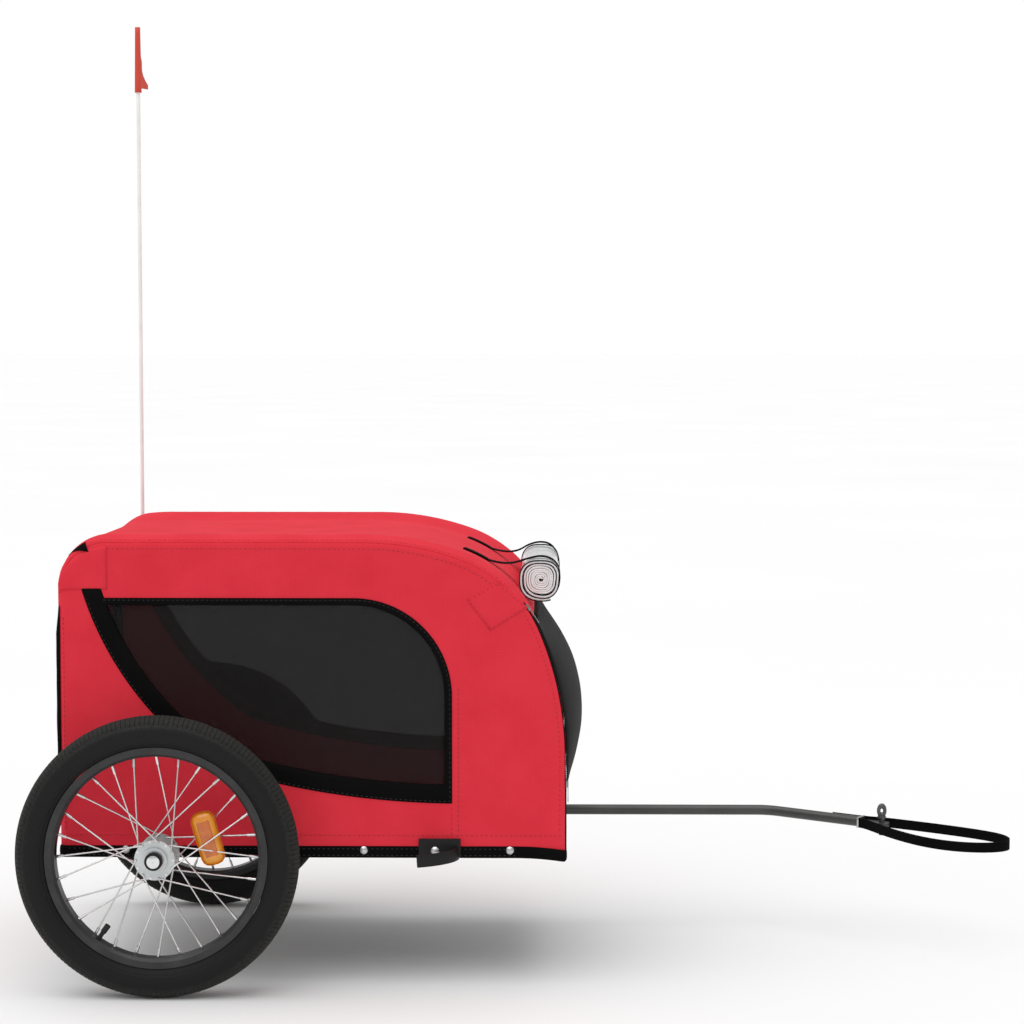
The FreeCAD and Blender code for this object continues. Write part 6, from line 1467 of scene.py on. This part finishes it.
BINDING_FOOT, BINDING_TOP, BINDING_HALF = 0.285, 0.545, 0.0060
BINDING_INSET, BINDING_BACK, BINDING_PROUD, BINDING_WAVE = 0.0085, 0.0012, 0.0052, 0.0006
TRIANGLE_START, TRIANGLE_END = REAR_LENGTH + CORNER_LENGTH * 0.44, REAR_LENGTH + CORNER_LENGTH * 0.72
TRIANGLE_DROP, TRIANGLE_LIFT, TRIANGLE_THICK = 0.020, 0.0019, 0.0008


def make_rear_edge(side_name, side):
    """Black binding where the rear panel meets the wall, standing a little proud of the corner."""

    def spot(turn, z):
        ends = min(1.0, (z - BINDING_FOOT) / 0.02 + 0.3, (BINDING_TOP - z) / 0.05 + 0.2)
        proud = BINDING_PROUD * ends + BINDING_WAVE * noise.noise(Vector((z * 25, side, 2.0)))
        x = REAR_X + BINDING_BACK - proud * max(0.0, math.sin(turn))
        y = HALF_WIDTH - BINDING_INSET + BINDING_HALF * math.cos(turn)
        return at(x, side * y, z), (z, turn * 0.005)

    spots = grid(spread(-0.25 * math.pi, 1.15 * math.pi, 9), spread(BINDING_FOOT, BINDING_TOP, 60), spot)
    sew(side_name + "_rear_edge_binding", spots, CLOTH, black_canvas, cut=(0.022, 0.26))


def make_corner_black_triangle(side_name, side):
    """A thin black sheet in the shape of a small triangle, laid on the wall's rolled edge between the roof
    and the rear patch.
    """

    def spot(share, step):
        length = TRIANGLE_START + (TRIANGLE_END - TRIANGLE_START) * share
        drop = -0.002 + (0.0005 + TRIANGLE_DROP * share) * step
        radius = shoulder_at(length)
        bend = min(max(0.0, drop) / radius, math.pi / 2)
        below = max(0.0, drop - radius * math.pi / 2)
        y = side * (HALF_WIDTH - radius + (radius + TRIANGLE_LIFT) * math.sin(bend))
        lift = (radius + TRIANGLE_LIFT) * math.cos(bend) - radius - below
        return outline_place(length, y, lift), (length, drop)

    sew(side_name + "_corner_black_triangle", grid(spread(0, 1, 12), spread(0, 1, 8), spot), TRIANGLE_THICK,
        black_canvas, cut=(0.030, 0.022))


# Stage, light and camera

SKY_LIGHT, SKY_BACKDROP = 0.62, 1.0

def make_stage():
    """A plain pale floor that runs out to the horizon, under a white sky."""
    bpy.ops.mesh.primitive_plane_add(size=400)
    floor = bpy.context.object
    floor.name = "studio_floor"
    made, tree, shader = surface("painted_floor_pale", 0.8)
    where = add(tree, "ShaderNodeTexCoord").outputs["Object"]
    shades(tree, shader, where, "#F4F4F4", "#F1F1F1", FLOOR_PATCH)
    floor.data.materials.append(made)
    world = bpy.data.worlds.new("studio_sky")
    bpy.context.scene.world = world
    world.use_nodes = True
    sky = world.node_tree.nodes["Background"]
    sky.inputs["Color"].default_value = (1.0, 1.0, 1.0, 1.0)
    seen = add(world.node_tree, "ShaderNodeLightPath").outputs["Is Camera Ray"]
    power = {"Value": seen, "To Min": SKY_LIGHT, "To Max": SKY_BACKDROP}
    add(world.node_tree, "ShaderNodeMapRange", power, sky.inputs["Strength"])


def make_sun():
    """A broad light from overhead, a little towards the viewer, as from a studio's ceiling panel."""
    lamp = bpy.data.lights.new("ceiling_light", "SUN")
    lamp.energy = 1.7
    lamp.angle = math.radians(70)
    holder = bpy.data.objects.new("ceiling_light", lamp)
    holder.rotation_euler = (math.radians(12), math.radians(-10), 0.0)
    bpy.context.scene.collection.objects.link(holder)


def make_camera():
    """The photograph's view: off the right side, from a little above the roof, looking slightly down."""
    lens = bpy.data.cameras.new("camera")
    lens.sensor_width = 36.0
    lens.lens = 85.88
    lens.clip_end = 200.0
    camera = bpy.data.objects.new("camera", lens)
    camera.location = at(0.54355, -3.66628, 0.91885)
    camera.rotation_euler = (math.radians(90 - 3.954), 0.0, math.radians(0.774))
    bpy.context.scene.collection.objects.link(camera)
    bpy.context.scene.camera = camera


# The whole trailer

SIDE_PIECES = (
    make_side_wall, make_window, make_patches, make_wall_seams, make_hem, make_front_zip, make_hoop,
    make_roll_strap, make_tyre, make_reflector, make_guard, make_button_spring, make_rear_edge,
    make_corner_black_triangle,
)
for make_piece in SIDE_PIECES:
    for side_name, side in SIDES:
        make_piece(side_name, side)
for slider_body, slider_node, slider_tilt in SLIDERS:
    make_slider(slider_body, slider_node, slider_tilt)
make_roof()
make_front_strips()
make_front_door()
make_rear_zip()
make_rear_panel()
make_rear_door()
make_rain_cover()
make_safety_strap()
make_pennant()
make_hitch_pin()
make_strap_clip()
make_stage()
make_sun()
make_camera()
bpy.context.scene.view_settings.view_transform = "Standard"
